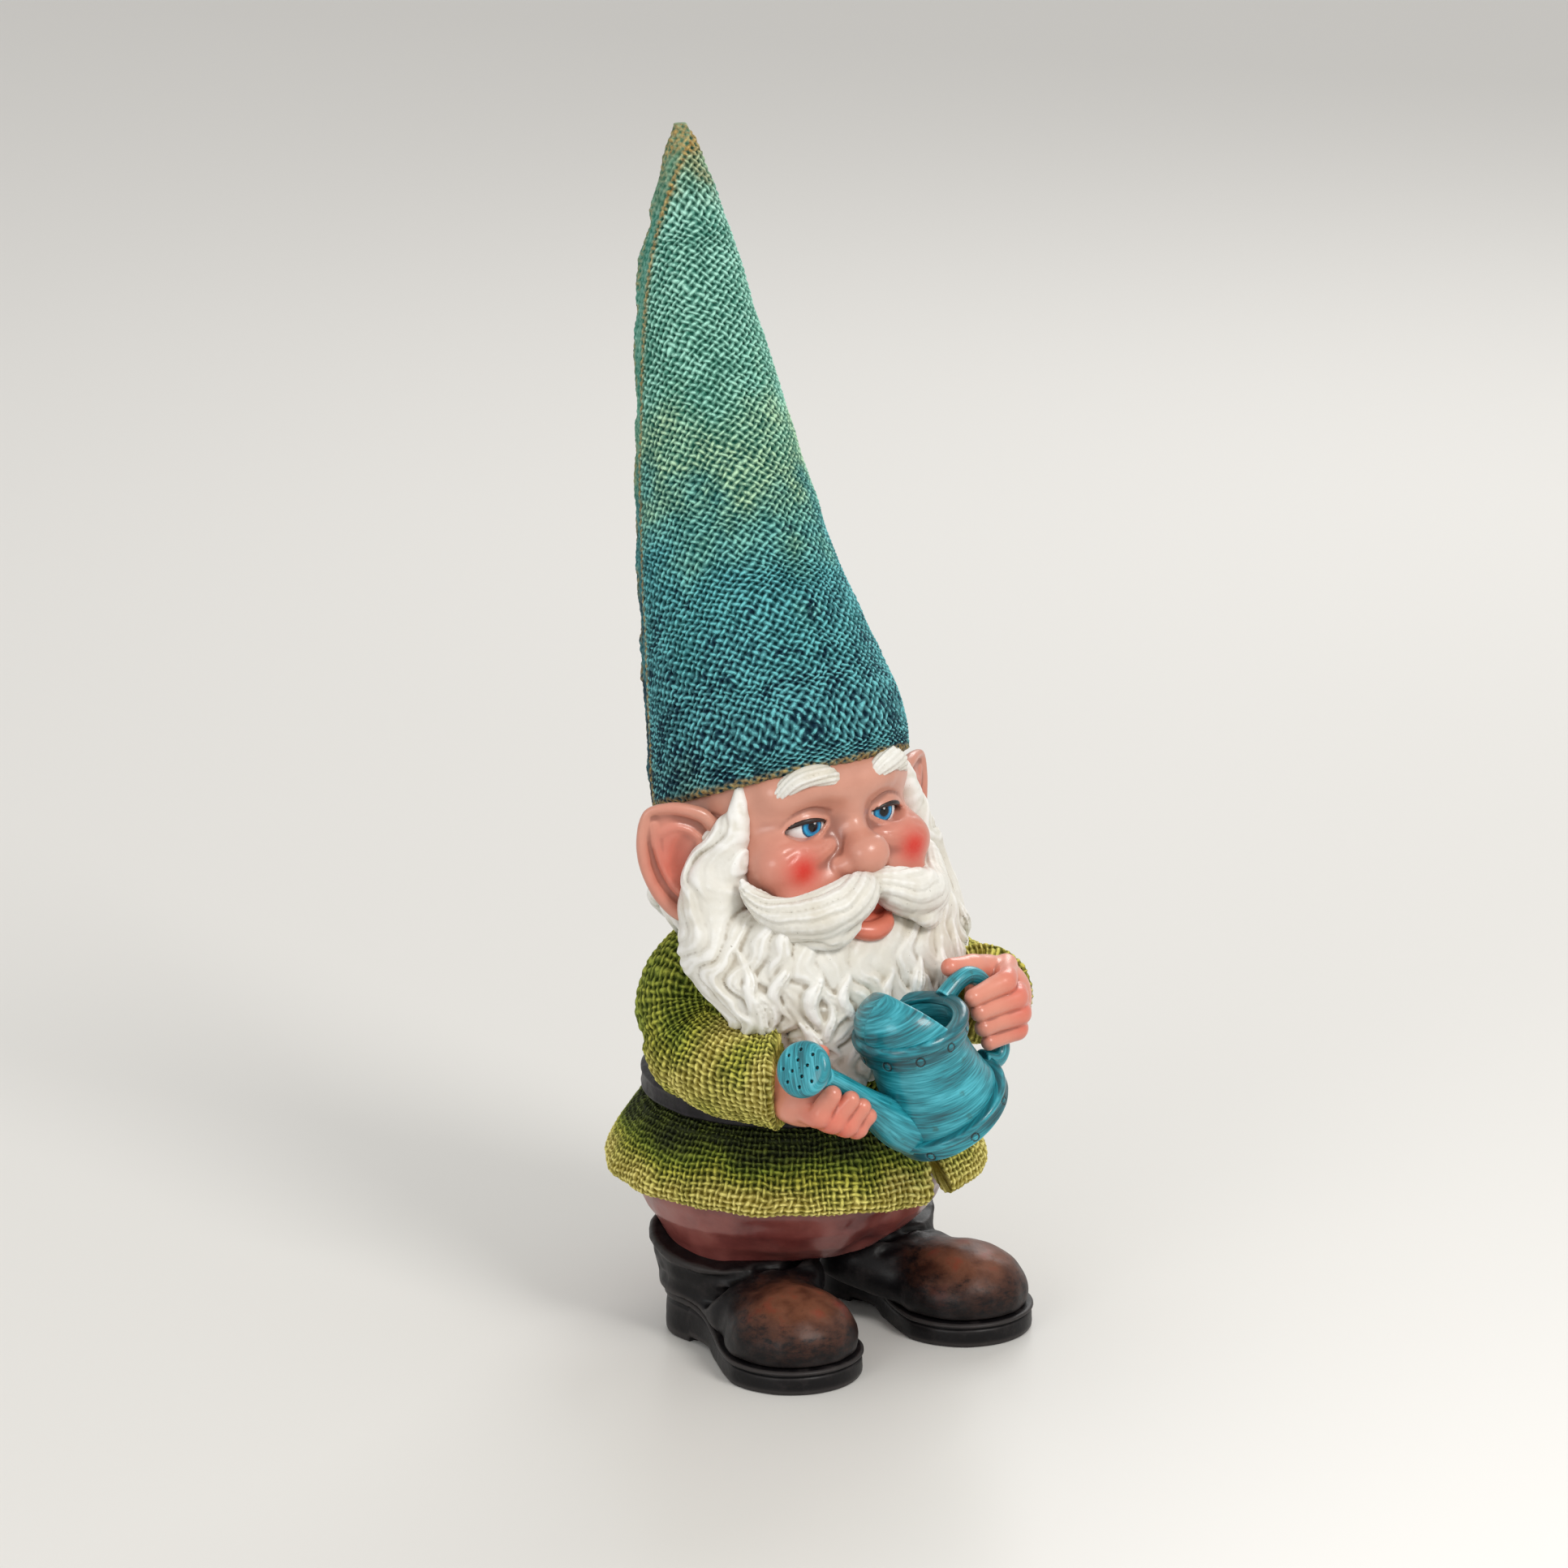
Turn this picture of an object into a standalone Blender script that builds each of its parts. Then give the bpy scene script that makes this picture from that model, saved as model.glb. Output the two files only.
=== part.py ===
"""Garden gnome with a watering can: a resin figure about 0.4 m tall, built from its separate sculpted castings.

Frame: +Z up, the gnome looks along -Y, its own right hand is at -X, and the soles stand on Z = 0.
Every casting is one closed solid. Neighbours keep a glue line of GAP between them. Nothing moves.
"""

import math

import bmesh
import bpy
from mathutils import Matrix, Vector

MM = 0.001

# ---- driving dimensions -------------------------------------------------------------------------
GAP = 0.40 * MM                      # glue line between neighbouring castings
TIP_HEIGHT = 407 * MM                # top of the hat
AXIS_SHIFT = Vector((-3.675, 10.487, 0)) * MM    # centres the figure's box on the origin

TOE_X, TOE_Y = 36.8 * MM, -49.3 * MM          # centre of each round toe
HEEL_X, HEEL_Y = 33 * MM, -1 * MM             # centre of each heel
TOE_R, HEEL_R, WAIST_R = 24 * MM, 17 * MM, 14.5 * MM
SOLE_TOE_T, SOLE_HEEL_T = 8.5 * MM, 16 * MM   # height of the sole's upper edge at toe and heel
ARCH_RISE = 2 * MM                            # the arch between heel and sole is off the ground

TROUSERS_PROFILE = [(42, 90), (45, 88), (45, 79), (48, 73), (52, 65), (54.8, 57), (54.6, 50), (51.5, 43), (45, 36),
                    (35, 29), (18, 25)]
SKIRT_PROFILE = [(48, 81.4), (54, 76.5), (60, 68.5), (64.3, 61), (64, 57), (61.2, 55.4),
                 (58.2, 57.2), (56, 62), (54.2, 68), (52.6, 78.2), (44, 78.8), (43.5, 81.4)]
BELT_PROFILE = [(46.5, 81.8), (51.8, 82.1), (52.6, 86.2), (51.8, 90.3), (46.5, 90.6), (43.5, 90.6), (43.5, 81.8)]
SPLIT_AT = math.radians(17)                   # where the jacket parts, from straight ahead to the gnome's left
FLAP_AT, FLAP_FLARE, HEM_DIP = math.radians(42), 4.5 * MM, 3.5 * MM
DEPTH_SHARE = 0.95                            # the waist is a little narrower front to back

HEAD_CENTRE = Vector((0, 1, 187)) * MM
HEAD_R = (39 * MM, 38.5 * MM, 36 * MM)
EYE_X, EYE_R = 15.4, 8 * MM                   # how far out each eye is, in mm, and its radius
HAT_LEAN = math.radians(22)                   # the brim's plane tips back by this much
EAR_ROOT, EAR_OUT = (40, -9), (0.83, 0.555)   # x and y of an ear's root in mm, and the way it points
EAR_RIM = [(1, 185, 2.2), (9, 188.3, 2.2), (20.5, 187.6, 1.7), (23, 182, 2), (22.8, 175, 2.2), (20, 165, 2.3),
           (14.5, 156.5, 2.4), (8, 152.4, 2.5), (3, 155, 2.4)]    # out, z and radius round an ear's rim

CAN_BASE = Vector((14.1, -71, 87.5)) * MM     # centre of the can's foot
CAN_ROLL, CAN_BEND = math.radians(36.3), 0.0082    # roll at the foot, and how it lessens per millimetre
CAN_WALL = 2 * MM
CAN_RIM = 39.3                                # height of the vessel's mouth along its own axis, in mm
CAN_OUTSIDE = [(19.8, 0), (19.8, 5), (18.9, 12), (17.7, 20), (16.9, 27), (16.8, 33), (16.9, CAN_RIM)]

SEGMENTS = 20
PAINT = {
    "skin": ((0.80, 0.42, 0.31), 0.35), "beard": ((0.80, 0.78, 0.70), 0.5), "hat": ((0.05, 0.30, 0.32), 0.8),
    "jacket": ((0.22, 0.27, 0.05), 0.8), "belt": ((0.03, 0.03, 0.035), 0.5), "trousers": ((0.20, 0.04, 0.04), 0.3),
    "boot": ((0.04, 0.03, 0.03), 0.4), "sole": ((0.02, 0.02, 0.02), 0.6), "can": ((0.02, 0.30, 0.36), 0.35),
    "eye": ((0.85, 0.85, 0.85), 0.1),
}


# ---- shapes -------------------------------------------------------------------------------------
def point(x, y, z):
    """A point given in millimetres."""
    return Vector((x, y, z)) * MM


def paint(name):
    """The casting's own painted finish."""
    colour, roughness = PAINT[name]
    material = bpy.data.materials.get(name) or bpy.data.materials.new(name)
    material.use_nodes = True
    shader = material.node_tree.nodes["Principled BSDF"]
    shader.inputs["Base Color"].default_value = (*colour, 1)
    shader.inputs["Roughness"].default_value = roughness
    shader.inputs["Metallic"].default_value = 0
    return material


def make(name, bm, finish):
    """A named object from a bmesh, with its faces turned outwards."""
    bmesh.ops.recalc_face_normals(bm, faces=bm.faces)
    mesh = bpy.data.meshes.new(name)
    bm.to_mesh(mesh)
    bm.free()
    mesh.materials.append(paint(finish))
    obj = bpy.data.objects.new(name, mesh)
    bpy.context.scene.collection.objects.link(obj)
    return obj


def ring(centre, rx, ry, axis=(0, 0, 1), count=SEGMENTS):
    """A closed ring of points round an axis."""
    turn = Vector(axis).to_track_quat("Z", "Y")
    angles = [2 * math.pi * k / count for k in range(count)]
    return [Vector(centre) + turn @ Vector((rx * math.cos(a), ry * math.sin(a), 0)) for a in angles]


def skin_rings(bm, rings, loop=False):
    """Bridges rings with the same number of points. Without loop, the two ends are capped."""
    loops = [[bm.verts.new(p) for p in points] for points in rings]
    count = len(loops[0])
    for i in range(len(loops) if loop else len(loops) - 1):
        low, high = loops[i], loops[(i + 1) % len(loops)]
        for k in range(count):
            n = (k + 1) % count
            bm.faces.new((low[k], low[n], high[n], high[k]))
    if not loop:
        bm.faces.new(loops[0][::-1])
        bm.faces.new(loops[-1])


def loft(name, rings, finish, loop=False):
    bm = bmesh.new()
    skin_rings(bm, rings, loop)
    return make(name, bm, finish)


def turned(name, profile, finish, depth=DEPTH_SHARE):
    """A ring turned from a closed profile of (radius, height) pairs in millimetres."""
    rings = [ring((0, 0, z * MM), r * MM, r * MM * depth) for r, z in profile]
    return loft(name, rings, finish, loop=True)


def ball(bm, centre, radii, turn=None, u=16, v=10):
    """An ellipsoid added to a bmesh."""
    place = Matrix.Translation(centre) @ (turn or Matrix.Identity(4)) @ Matrix.Diagonal((*radii, 1))
    bmesh.ops.create_uvsphere(bm, u_segments=u, v_segments=v, radius=1, matrix=place)


def turn_to(direction):
    """The rotation that lays a shape's Z axis along a direction."""
    return Vector(direction).to_track_quat("Z", "Y").to_matrix().to_4x4()


def bar(bm, start, end, r_start, r_end, count=12):
    """A round bar with domed ends, used for fingers, locks and limbs."""
    start, end = Vector(start), Vector(end)
    axis = end - start
    rings = []
    for centre, radius, way in ((start, r_start, -1), (end, r_end, 1)):
        angles = (78, 45, 0) if way < 0 else (0, 45, 78)
        for degrees in angles:
            a = math.radians(degrees)
            rings.append(ring(centre + axis.normalized() * (way * radius * math.sin(a)),
                              radius * math.cos(a), radius * math.cos(a), axis, count))
    skin_rings(bm, rings)


def bake(obj):
    """Applies an object's modifiers."""
    graph = bpy.context.evaluated_depsgraph_get()
    graph.update()
    mesh = bpy.data.meshes.new_from_object(obj.evaluated_get(graph))
    obj.modifiers.clear()
    obj.data = mesh
    return obj


def thin_out(obj, faces):
    """Brings a mesh down to about this many triangles."""
    triangles = sum(len(p.vertices) - 2 for p in obj.data.polygons)
    if triangles > faces:
        thin = obj.modifiers.new("thin", "DECIMATE")
        thin.ratio = faces / triangles
        bake(obj)
    return obj


def fuse(name, bm, finish, faces, voxel=1.2 * MM, rounds=6):
    """Melts overlapping shapes into one sculpted body."""
    obj = make(name, bm, finish)
    remesh = obj.modifiers.new("melt", "REMESH")
    remesh.mode, remesh.voxel_size = "VOXEL", voxel
    smooth = obj.modifiers.new("smooth", "SMOOTH")
    smooth.factor, smooth.iterations = 0.5, rounds
    bake(obj)
    return thin_out(obj, faces)


def keep_largest(obj):
    """Drops the crumbs that a cut leaves beside the main body."""
    bm = bmesh.new()
    bm.from_mesh(obj.data)
    left, bodies = set(bm.verts), []
    while left:
        body, front = set(), [left.pop()]
        while front:
            vert = front.pop()
            body.add(vert)
            for edge in vert.link_edges:
                other = edge.other_vert(vert)
                if other in left:
                    left.remove(other)
                    front.append(other)
        bodies.append(body)
    for body in sorted(bodies, key=span)[:-1]:
        bmesh.ops.delete(bm, geom=list(body), context="VERTS")
    bmesh.ops.dissolve_degenerate(bm, dist=0.01 * MM, edges=bm.edges)
    bm.to_mesh(obj.data)
    bm.free()


def span(verts):
    """The diagonal of the box round some vertices."""
    return sum((max(v.co[k] for v in verts) - min(v.co[k] for v in verts)) ** 2 for k in range(3))


def box_of(mesh, margin=0.0):
    low = [min(v.co[k] for v in mesh.vertices) - margin for k in range(3)]
    high = [max(v.co[k] for v in mesh.vertices) + margin for k in range(3)]
    return low, high


def near(a, b):
    """True if the boxes of two meshes meet within a glue line."""
    (low_a, high_a), (low_b, high_b) = box_of(a, 2 * GAP), box_of(b)
    return all(low_a[k] <= high_b[k] and low_b[k] <= high_a[k] for k in range(3))


def cut(obj, *cutters):
    """Takes the cutters' shapes away from an object, and then the cutters themselves."""
    group = bpy.data.collections.new("cutters")
    for cutter in cutters:
        group.objects.link(cutter)
    boolean = obj.modifiers.new("cut", "BOOLEAN")
    boolean.operand_type, boolean.collection = "COLLECTION", group
    boolean.operation, boolean.solver = "DIFFERENCE", "EXACT"
    bake(obj)
    bpy.data.collections.remove(group)
    for cutter in cutters:
        bpy.data.objects.remove(cutter)


def swollen(mesh):
    """A copy of a shape, grown all round by one glue line."""
    copy = bpy.data.objects.new("swollen", mesh.copy())
    bpy.context.scene.collection.objects.link(copy)
    swell = copy.modifiers.new("swell", "DISPLACE")
    swell.strength, swell.mid_level = GAP, 0
    return bake(copy)


WHOLE = {}    # each casting's shape before its neighbours are cut away from it


def carve(obj, *others):
    """Cuts away what neighbouring castings fill, with a glue line all round them."""
    WHOLE[obj.name] = obj.data.copy()
    cutters = [swollen(WHOLE[other.name]) for other in others if near(obj.data, WHOLE[other.name])]
    if cutters:
        cut(obj, *cutters)
        keep_largest(obj)
    return obj


def drill(obj, bm):
    """Cuts a shape given as a bmesh out of an object."""
    cut(obj, make("cutter", bm, "sole"))
    return obj


# ---- feet ---------------------------------------------------------------------------------------
def foot_place(side):
    """Turns a straight foot outwards and sets its heel in place. side is -1 for the gnome's right."""
    splay = math.atan2(side * (TOE_X - HEEL_X), HEEL_Y - TOE_Y)
    return Matrix.Translation((side * HEEL_X, HEEL_Y, 0)) @ Matrix.Rotation(splay, 4, "Z")


TOE_AHEAD = math.hypot(TOE_X - HEEL_X, TOE_Y - HEEL_Y)    # toe centre ahead of heel centre


def sole_half_width(y):
    """Half the sole's width at a distance y behind the heel's centre (negative is ahead)."""
    if y > 0:
        return math.sqrt(max(HEEL_R**2 - y**2, 0))
    if y < -TOE_AHEAD:
        return math.sqrt(max(TOE_R**2 - (y + TOE_AHEAD) ** 2, 0))
    ahead = -y / TOE_AHEAD
    ends = HEEL_R + (TOE_R - HEEL_R) * ahead
    return ends - (ends - WAIST_R) * math.sin(math.pi * ahead**0.6) ** 2 * 0.8


def sole_top(y):
    """Height of the sole's upper edge: level under the toes, then rising to the heel."""
    ahead = min(max((-y - 4 * MM) / (TOE_AHEAD - 16 * MM), 0), 1)
    return SOLE_HEEL_T + (SOLE_TOE_T - SOLE_HEEL_T) * (3 * ahead**2 - 2 * ahead**3)


def sole_slices():
    """(y, underside) along the sole, from the heel's back to the toe's front."""
    heel = [(HEEL_R * math.cos(math.radians(a)), 0) for a in (8, 30, 52, 75)]
    arch = [(-7, 0), (-7.6, ARCH_RISE / MM), (-20, ARCH_RISE / MM), (-27, 0), (-36, 0), (-46, 0)]
    toe = [(-TOE_AHEAD - TOE_R * math.sin(math.radians(a)), 0) for a in (0, 25, 45, 63, 82)]
    return heel + [(y * MM, z * MM) for y, z in arch] + toe


def sole(name, side):
    slices = []
    for y, under in sole_slices():
        w = sole_half_width(y)
        bulge = min(w, 1.2 * MM)
        top = sole_top(y)
        slices.append([Vector(p) for p in ((-w + bulge, y, under), (w - bulge, y, under), (w, y, (under + top) / 2),
                                           (w - bulge / 2, y, top), (-w + bulge / 2, y, top),
                                           (-w, y, (under + top) / 2))])
    obj = loft(name, slices, "sole")
    obj.data.transform(foot_place(side))
    return obj


def boot(name, side, *others):
    """The boot above its sole: a round toe, a low instep and a short wide shaft round the trouser leg."""
    bm = bmesh.new()
    ball(bm, (0, -TOE_AHEAD + 1 * MM, 15 * MM), (23.8 * MM, 25 * MM, 16 * MM))
    ball(bm, (-side * 3 * MM, -26 * MM, 15 * MM), (21.5 * MM, 24 * MM, 15 * MM))
    ball(bm, (-side * 14 * MM, -14 * MM, 21 * MM), (18 * MM, 18 * MM, 14 * MM))
    ball(bm, (0, 0, 20 * MM), (18 * MM, 18 * MM, 15 * MM))
    skin_rings(bm, [ring((-side * x * MM, -1 * MM, z * MM), r * MM, r * MM)
                    for x, z, r in ((1, 13, 18.5), (3.5, 22, 23.5), (5, 31, 27), (5, 40, 28))])
    obj = fuse(name, bm, "boot", 380)
    bed = bmesh.new()
    wide = 40 * MM
    ys = [40, 0, -5, -12, -20, -28, -34, -40, -46, -90]
    skin_rings(bed, [[Vector(p) for p in ((-wide, y * MM, -20 * MM), (wide, y * MM, -20 * MM),
                                         (wide, y * MM, sole_top(y * MM) + GAP),
                                         (-wide, y * MM, sole_top(y * MM) + GAP))] for y in ys])
    drill(obj, bed)
    obj.data.transform(foot_place(side))
    above = bmesh.new()
    slope = Matrix.Translation((0, 0, 33.7 * MM)) @ Matrix.Rotation(math.radians(10.8), 4, "X")
    bmesh.ops.create_cube(above, size=0.3, matrix=slope @ Matrix.Translation((0, 0, 0.15)))
    drill(obj, above)
    beside = bmesh.new()
    bmesh.ops.create_cube(beside, size=0.3, matrix=Matrix.Translation((-side * (0.15 - GAP / 2), 0, 0)))
    drill(obj, beside)
    return carve(obj, *others)


# ---- clothes ------------------------------------------------------------------------------------
def make_trousers(*others):
    """Round hips on two short legs. A plug at the waist carries the belt and the jacket."""
    bm = bmesh.new()
    skin_rings(bm, [ring((0, 0, z * MM), r * MM, r * MM * DEPTH_SHARE) for r, z in TROUSERS_PROFILE])
    for side in (-1, 1):
        bar(bm, point(side * 28, -1, 38), point(side * 27, -1, 54), 19.5 * MM, 23 * MM, 20)
    return carve(fuse("trousers", bm, "trousers", 560, 1.5 * MM, 2), *others)


def make_skirt():
    """The jacket below the belt: a flared ring, open at the front where its two edges part."""
    obj = turned("jacket_skirt", SKIRT_PROFILE, "jacket")
    split = bmesh.new()
    ahead = Vector((math.sin(SPLIT_AT), -math.cos(SPLIT_AT), 0)) * 70 * MM
    across = Vector((-ahead.y, ahead.x, 0)).normalized()
    wedge = [(0.3, -2, 73), (8.5, 0, 50)]
    skin_rings(split, [[ahead * reach + across * (half * way + shift) * MM + Vector((0, 0, z * MM))
                        for reach, way in ((0.6, -1), (1.2, -1), (1.2, 1), (0.6, 1))] for half, shift, z in wedge])
    drill(obj, split)
    for vert in obj.data.vertices:
        angle = math.atan2(vert.co.x, -vert.co.y)
        low = min(max((78 * MM - vert.co.z) / (20 * MM), 0), 1)
        flare = FLAP_FLARE * math.exp(-(((angle - FLAP_AT) / 0.42) ** 2)) * low
        vert.co += Vector((math.sin(angle), -math.cos(angle), 0)) * flare
        vert.co.z -= HEM_DIP * math.exp(-(((angle - SPLIT_AT) / 0.6) ** 2)) * low
    return carve(obj)


def make_torso():
    """The jacket above the belt, from the waist to the collar."""
    rings = [(0, 0, 91.1, 49, 46.5), (0, -1, 98, 50, 48), (0, -1, 108, 49, 46.5), (0, 0, 120, 47, 43),
             (0, 1, 130, 42, 38), (0, 2, 138, 34, 31), (0, 2, 143, 27, 26)]
    return carve(loft("jacket_torso", [ring(point(x, y, z), rx * MM, ry * MM) for x, y, z, rx, ry in rings], "jacket"))


ARM_PATH = {   # x outwards, y, z, radius in millimetres, from the shoulder to the cuff
    -1: [(30, 9, 129, 14.5), (37, 7, 122, 16.5), (41.5, 3, 112.5, 17.5), (43, -6, 104.5, 17.5), (43, -20, 101.5, 16.5),
         (41.3, -35, 102, 15.6), (38.5, -47, 103.5, 15.2)],
    1: [(30, 9, 129, 14.5), (38, 6, 123, 16), (48, -1, 117, 16.5), (54.5, -13, 112, 17), (55, -27, 110.5, 16.8),
        (51, -39, 113.5, 16.2), (46, -48, 117.5, 16)],
}


def make_sleeve(name, side, *others):
    path = [point(side * x, y, z) for x, y, z, r in ARM_PATH[side]]
    rings = []
    for i, centre in enumerate(path):
        along = path[min(i + 1, len(path) - 1)] - path[max(i - 1, 0)]
        radius = ARM_PATH[side][i][3] * MM
        rings.append(ring(centre, radius, radius, along, 20))
    return carve(loft(name, rings, "jacket"), *others)


# ---- head ---------------------------------------------------------------------------------------
def make_head(*others):
    """Skull, cheeks, nose and neck. The skull sits in the hat and the neck stands on the collar."""
    bm = bmesh.new()
    ball(bm, HEAD_CENTRE, HEAD_R, u=24, v=16)
    ball(bm, point(0, -9, 166), (37 * MM, 30 * MM, 25 * MM), u=20, v=12)
    for side in (-1, 1):
        ball(bm, point(side * 22.5, -30, 168.5), (11.5 * MM, 9.5 * MM, 10 * MM))
        ball(bm, point(side * 6, -40, 172), (4 * MM, 4 * MM, 3.6 * MM), u=10, v=8)
    ball(bm, point(0, -44, 174.3), (8 * MM, 7 * MM, 7 * MM), u=12, v=8)
    bar(bm, point(0, -34.5, 190), point(0, -40, 179), 4 * MM, 5 * MM, 10)
    bar(bm, point(0, 2, 140), point(0, 2, 160), 18 * MM, 22 * MM, 20)
    obj = fuse("head", bm, "skin", 680, 1.3 * MM, 4)
    hollows = bmesh.new()
    ball(hollows, point(-2, -41, 152), (7 * MM, 8 * MM, 5.5 * MM), u=12, v=8)
    for side in (-1, 1):
        ball(hollows, point(side * 15.5, -41.8, 184.4), (11 * MM, 11.4 * MM, 7.8 * MM))
    drill(obj, hollows)
    return carve(obj, *others)


def make_eye(name, side):
    bm = bmesh.new()
    ball(bm, point(side * EYE_X, -24.2, 183.7), (EYE_R, EYE_R, EYE_R * 0.9), u=16, v=10)
    return make(name, bm, "eye")


def make_brow(name, side, *others):
    """A raised, arched eyebrow of white hair."""
    bm = bmesh.new()
    bar(bm, point(side * 11.5, -35.5, 199.5), point(side * 18, -33, 202), 3 * MM, 3.4 * MM)
    bar(bm, point(side * 18, -33, 202), point(side * 25.5, -27, 196.5), 3.4 * MM, 2.2 * MM)
    return carve(fuse(name, bm, "beard", 160, 0.8 * MM, 3), *others)


def ear_place(side, out, ahead, z):
    """A place on an ear in millimetres: out along the ear from its root, ahead of it, and up."""
    along, across = Vector((EAR_OUT[0], EAR_OUT[1], 0)), Vector((EAR_OUT[1], -EAR_OUT[0], 0))
    place = Vector((EAR_ROOT[0], EAR_ROOT[1], z)) + along * out + across * ahead
    return point(side * place.x, place.y, place.z)


def make_ear(name, side, *others):
    """A large ear, drawn up to a point: a raised rim round a thin bowl that faces forwards."""
    bm = bmesh.new()
    for (out, z, r), (out2, z2, r2) in zip(EAR_RIM, EAR_RIM[1:]):
        bar(bm, ear_place(side, out, 0.6, z), ear_place(side, out2, 0.6, z2), r * MM, r2 * MM, 10)
    turn = Matrix.Rotation(side * math.atan2(EAR_OUT[1], EAR_OUT[0]), 4, "Z")
    for out, z, wide, tall in ((11, 176, 12, 13.5), (7.5, 165, 9, 12.5)):
        ball(bm, ear_place(side, out, -1.8, z), (wide * MM, 2.6 * MM, tall * MM), turn)
    return carve(fuse(name, bm, "skin", 300, 0.9 * MM, 3), *others)


HAT_RINGS = [   # y and z of the centre, half width, half depth in millimetres, from the brim to the tip
    (4.8, 188.5, 44.8, 44.8), (8.4, 204, 44.4, 44.4), (14.4, 219, 41.2, 41.2), (21.2, 236, 37.8, 37.8),
    (28.2, 253, 34.4, 34.4), (33.8, 270, 31.5, 31.5), (41.4, 295, 27.6, 27.6), (47.8, 320, 23.7, 23.7),
    (53.3, 344, 19.3, 19.3), (57.2, 367, 14.6, 14.6), (58.8, 386, 9.2, 9.2), (60.2, 399, 4.7, 4.7),
    (60.7, TIP_HEIGHT / MM, 1.3, 1.3),
]


def hat_axis(i):
    """The direction of the hat's centre line at a ring, square to the leaning brim at the bottom."""
    if i == 0:
        return Vector((0, math.sin(HAT_LEAN), math.cos(HAT_LEAN)))
    before, after = HAT_RINGS[i - 1], HAT_RINGS[min(i + 1, len(HAT_RINGS) - 1)]
    return Vector((0, after[0] - before[0], after[1] - before[1])).normalized()


def make_hat(head):
    """A tall pointed hat that sits on the skull like a cap."""
    rings = [ring(point(0, y, z), rx * MM, ry * MM, hat_axis(i)) for i, (y, z, rx, ry) in enumerate(HAT_RINGS)]
    obj = loft("hat", rings, "hat")
    return carve(obj, head)


def make_back_hair(*others):
    """The fringe of hair between the hat and the collar, behind the ears."""
    bm = bmesh.new()
    for k, degrees in enumerate(range(-78, 79, 13)):
        a = math.radians(degrees)
        x, y = 37 * math.sin(a), 4 + 37 * math.cos(a)
        bar(bm, point(x, y, 177), point(x * 1.06, 4 + 40 * math.cos(a), 149 + 4 * (k % 2)), 8 * MM, 5.5 * MM)
    return carve(fuse("back_hair", bm, "beard", 240, 1.5 * MM, 4), *others)


def make_beard(*others):
    """The full beard, from both temples down over the chest to its tip."""
    bm = bmesh.new()
    for side in (-1, 1):
        bar(bm, point(side * 37, -15, 190), point(side * 40, -14, 166), 5.5 * MM, 9 * MM)
        bar(bm, point(side * 40, -14, 166), point(side * 43, -18, 145), 9 * MM, 13 * MM)
        bar(bm, point(side * 43, -18, 145), point(side * 36, -31, 127), 13 * MM, 12 * MM)
        bar(bm, point(side * 30, -32, 146), point(side * 20, -42, 122), 12 * MM, 12 * MM)
    ball(bm, point(0, -41, 136), (30 * MM, 15 * MM, 19 * MM), u=20)
    ball(bm, point(-2, -46, 118), (24 * MM, 13 * MM, 22 * MM), u=20)
    bar(bm, point(-6, -51, 112), point(-13, -54, 102), 12 * MM, 6 * MM)
    obj = fuse("beard", bm, "beard", 560, 1.5 * MM, 4)
    mouth = bmesh.new()
    ball(mouth, point(-2, -54, 152), (9 * MM, 14 * MM, 6.5 * MM), u=14, v=10)
    drill(obj, mouth)
    return carve(obj, *others)


def make_moustache(*others):
    """Two full sweeps of hair that meet under the nose."""
    bm = bmesh.new()
    for side in (-1, 1):
        path = [(2.5, -47, 164, 4.5), (9, -49, 161.5, 6.8), (18, -47, 157.5, 7.6), (27, -41, 157, 6.8),
                (34, -35, 161, 4.8), (37.5, -31, 167, 2.4)]
        for (x, y, z, r), (x2, y2, z2, r2) in zip(path, path[1:]):
            bar(bm, point(side * x, y, z), point(side * x2, y2, z2), r * MM, r2 * MM)
    return carve(fuse("moustache", bm, "beard", 440, 1 * MM, 4), *others)


def make_lip(*others):
    """The lower lip, a soft roll under the open mouth."""
    bm = bmesh.new()
    points = [(-8.5, -46.5, 150.5), (-5.5, -50, 147.8), (-2, -51, 147), (1.5, -50, 147.8), (4.5, -46.5, 150.5)]
    for a, b in zip(points, points[1:]):
        bar(bm, point(*a), point(*b), 2.4 * MM, 2.4 * MM, 8)
    ball(bm, point(-2, -45, 147), (6 * MM, 5 * MM, 3 * MM), u=12, v=8)
    return carve(fuse("lower_lip", bm, "skin", 160, 0.8 * MM, 3), *others)


# ---- watering can -------------------------------------------------------------------------------
def can_at(z):
    """Centre and axis of the can at a height (in mm) along its gently bent centre line."""
    roll = CAN_ROLL - CAN_BEND * z
    x = (math.cos(CAN_ROLL) - math.cos(roll)) / CAN_BEND
    up = (math.sin(CAN_ROLL) - math.sin(roll)) / CAN_BEND
    return CAN_BASE + Vector((x, 0, up)) * MM, Vector((-math.sin(roll), 0, math.cos(roll)))


def can_ring(r, z):
    centre, axis = can_at(z)
    return ring(centre, r * MM, r * MM, axis, 20)


def make_can_body():
    """The vessel: a waisted drum, hollow and open at the top."""
    wall = CAN_WALL / MM
    inside = [(r - wall, z) for r, z in CAN_OUTSIDE[:1:-1]] + [(CAN_OUTSIDE[0][0] - wall - 1, wall + 1)]
    return carve(loft("can_body", [can_ring(r, z) for r, z in CAN_OUTSIDE + inside], "can"))


def make_band(name, profile, body):
    """A hoop round the can."""
    return carve(loft(name, [can_ring(r, z) for r, z in profile], "can", loop=True), body)


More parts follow.
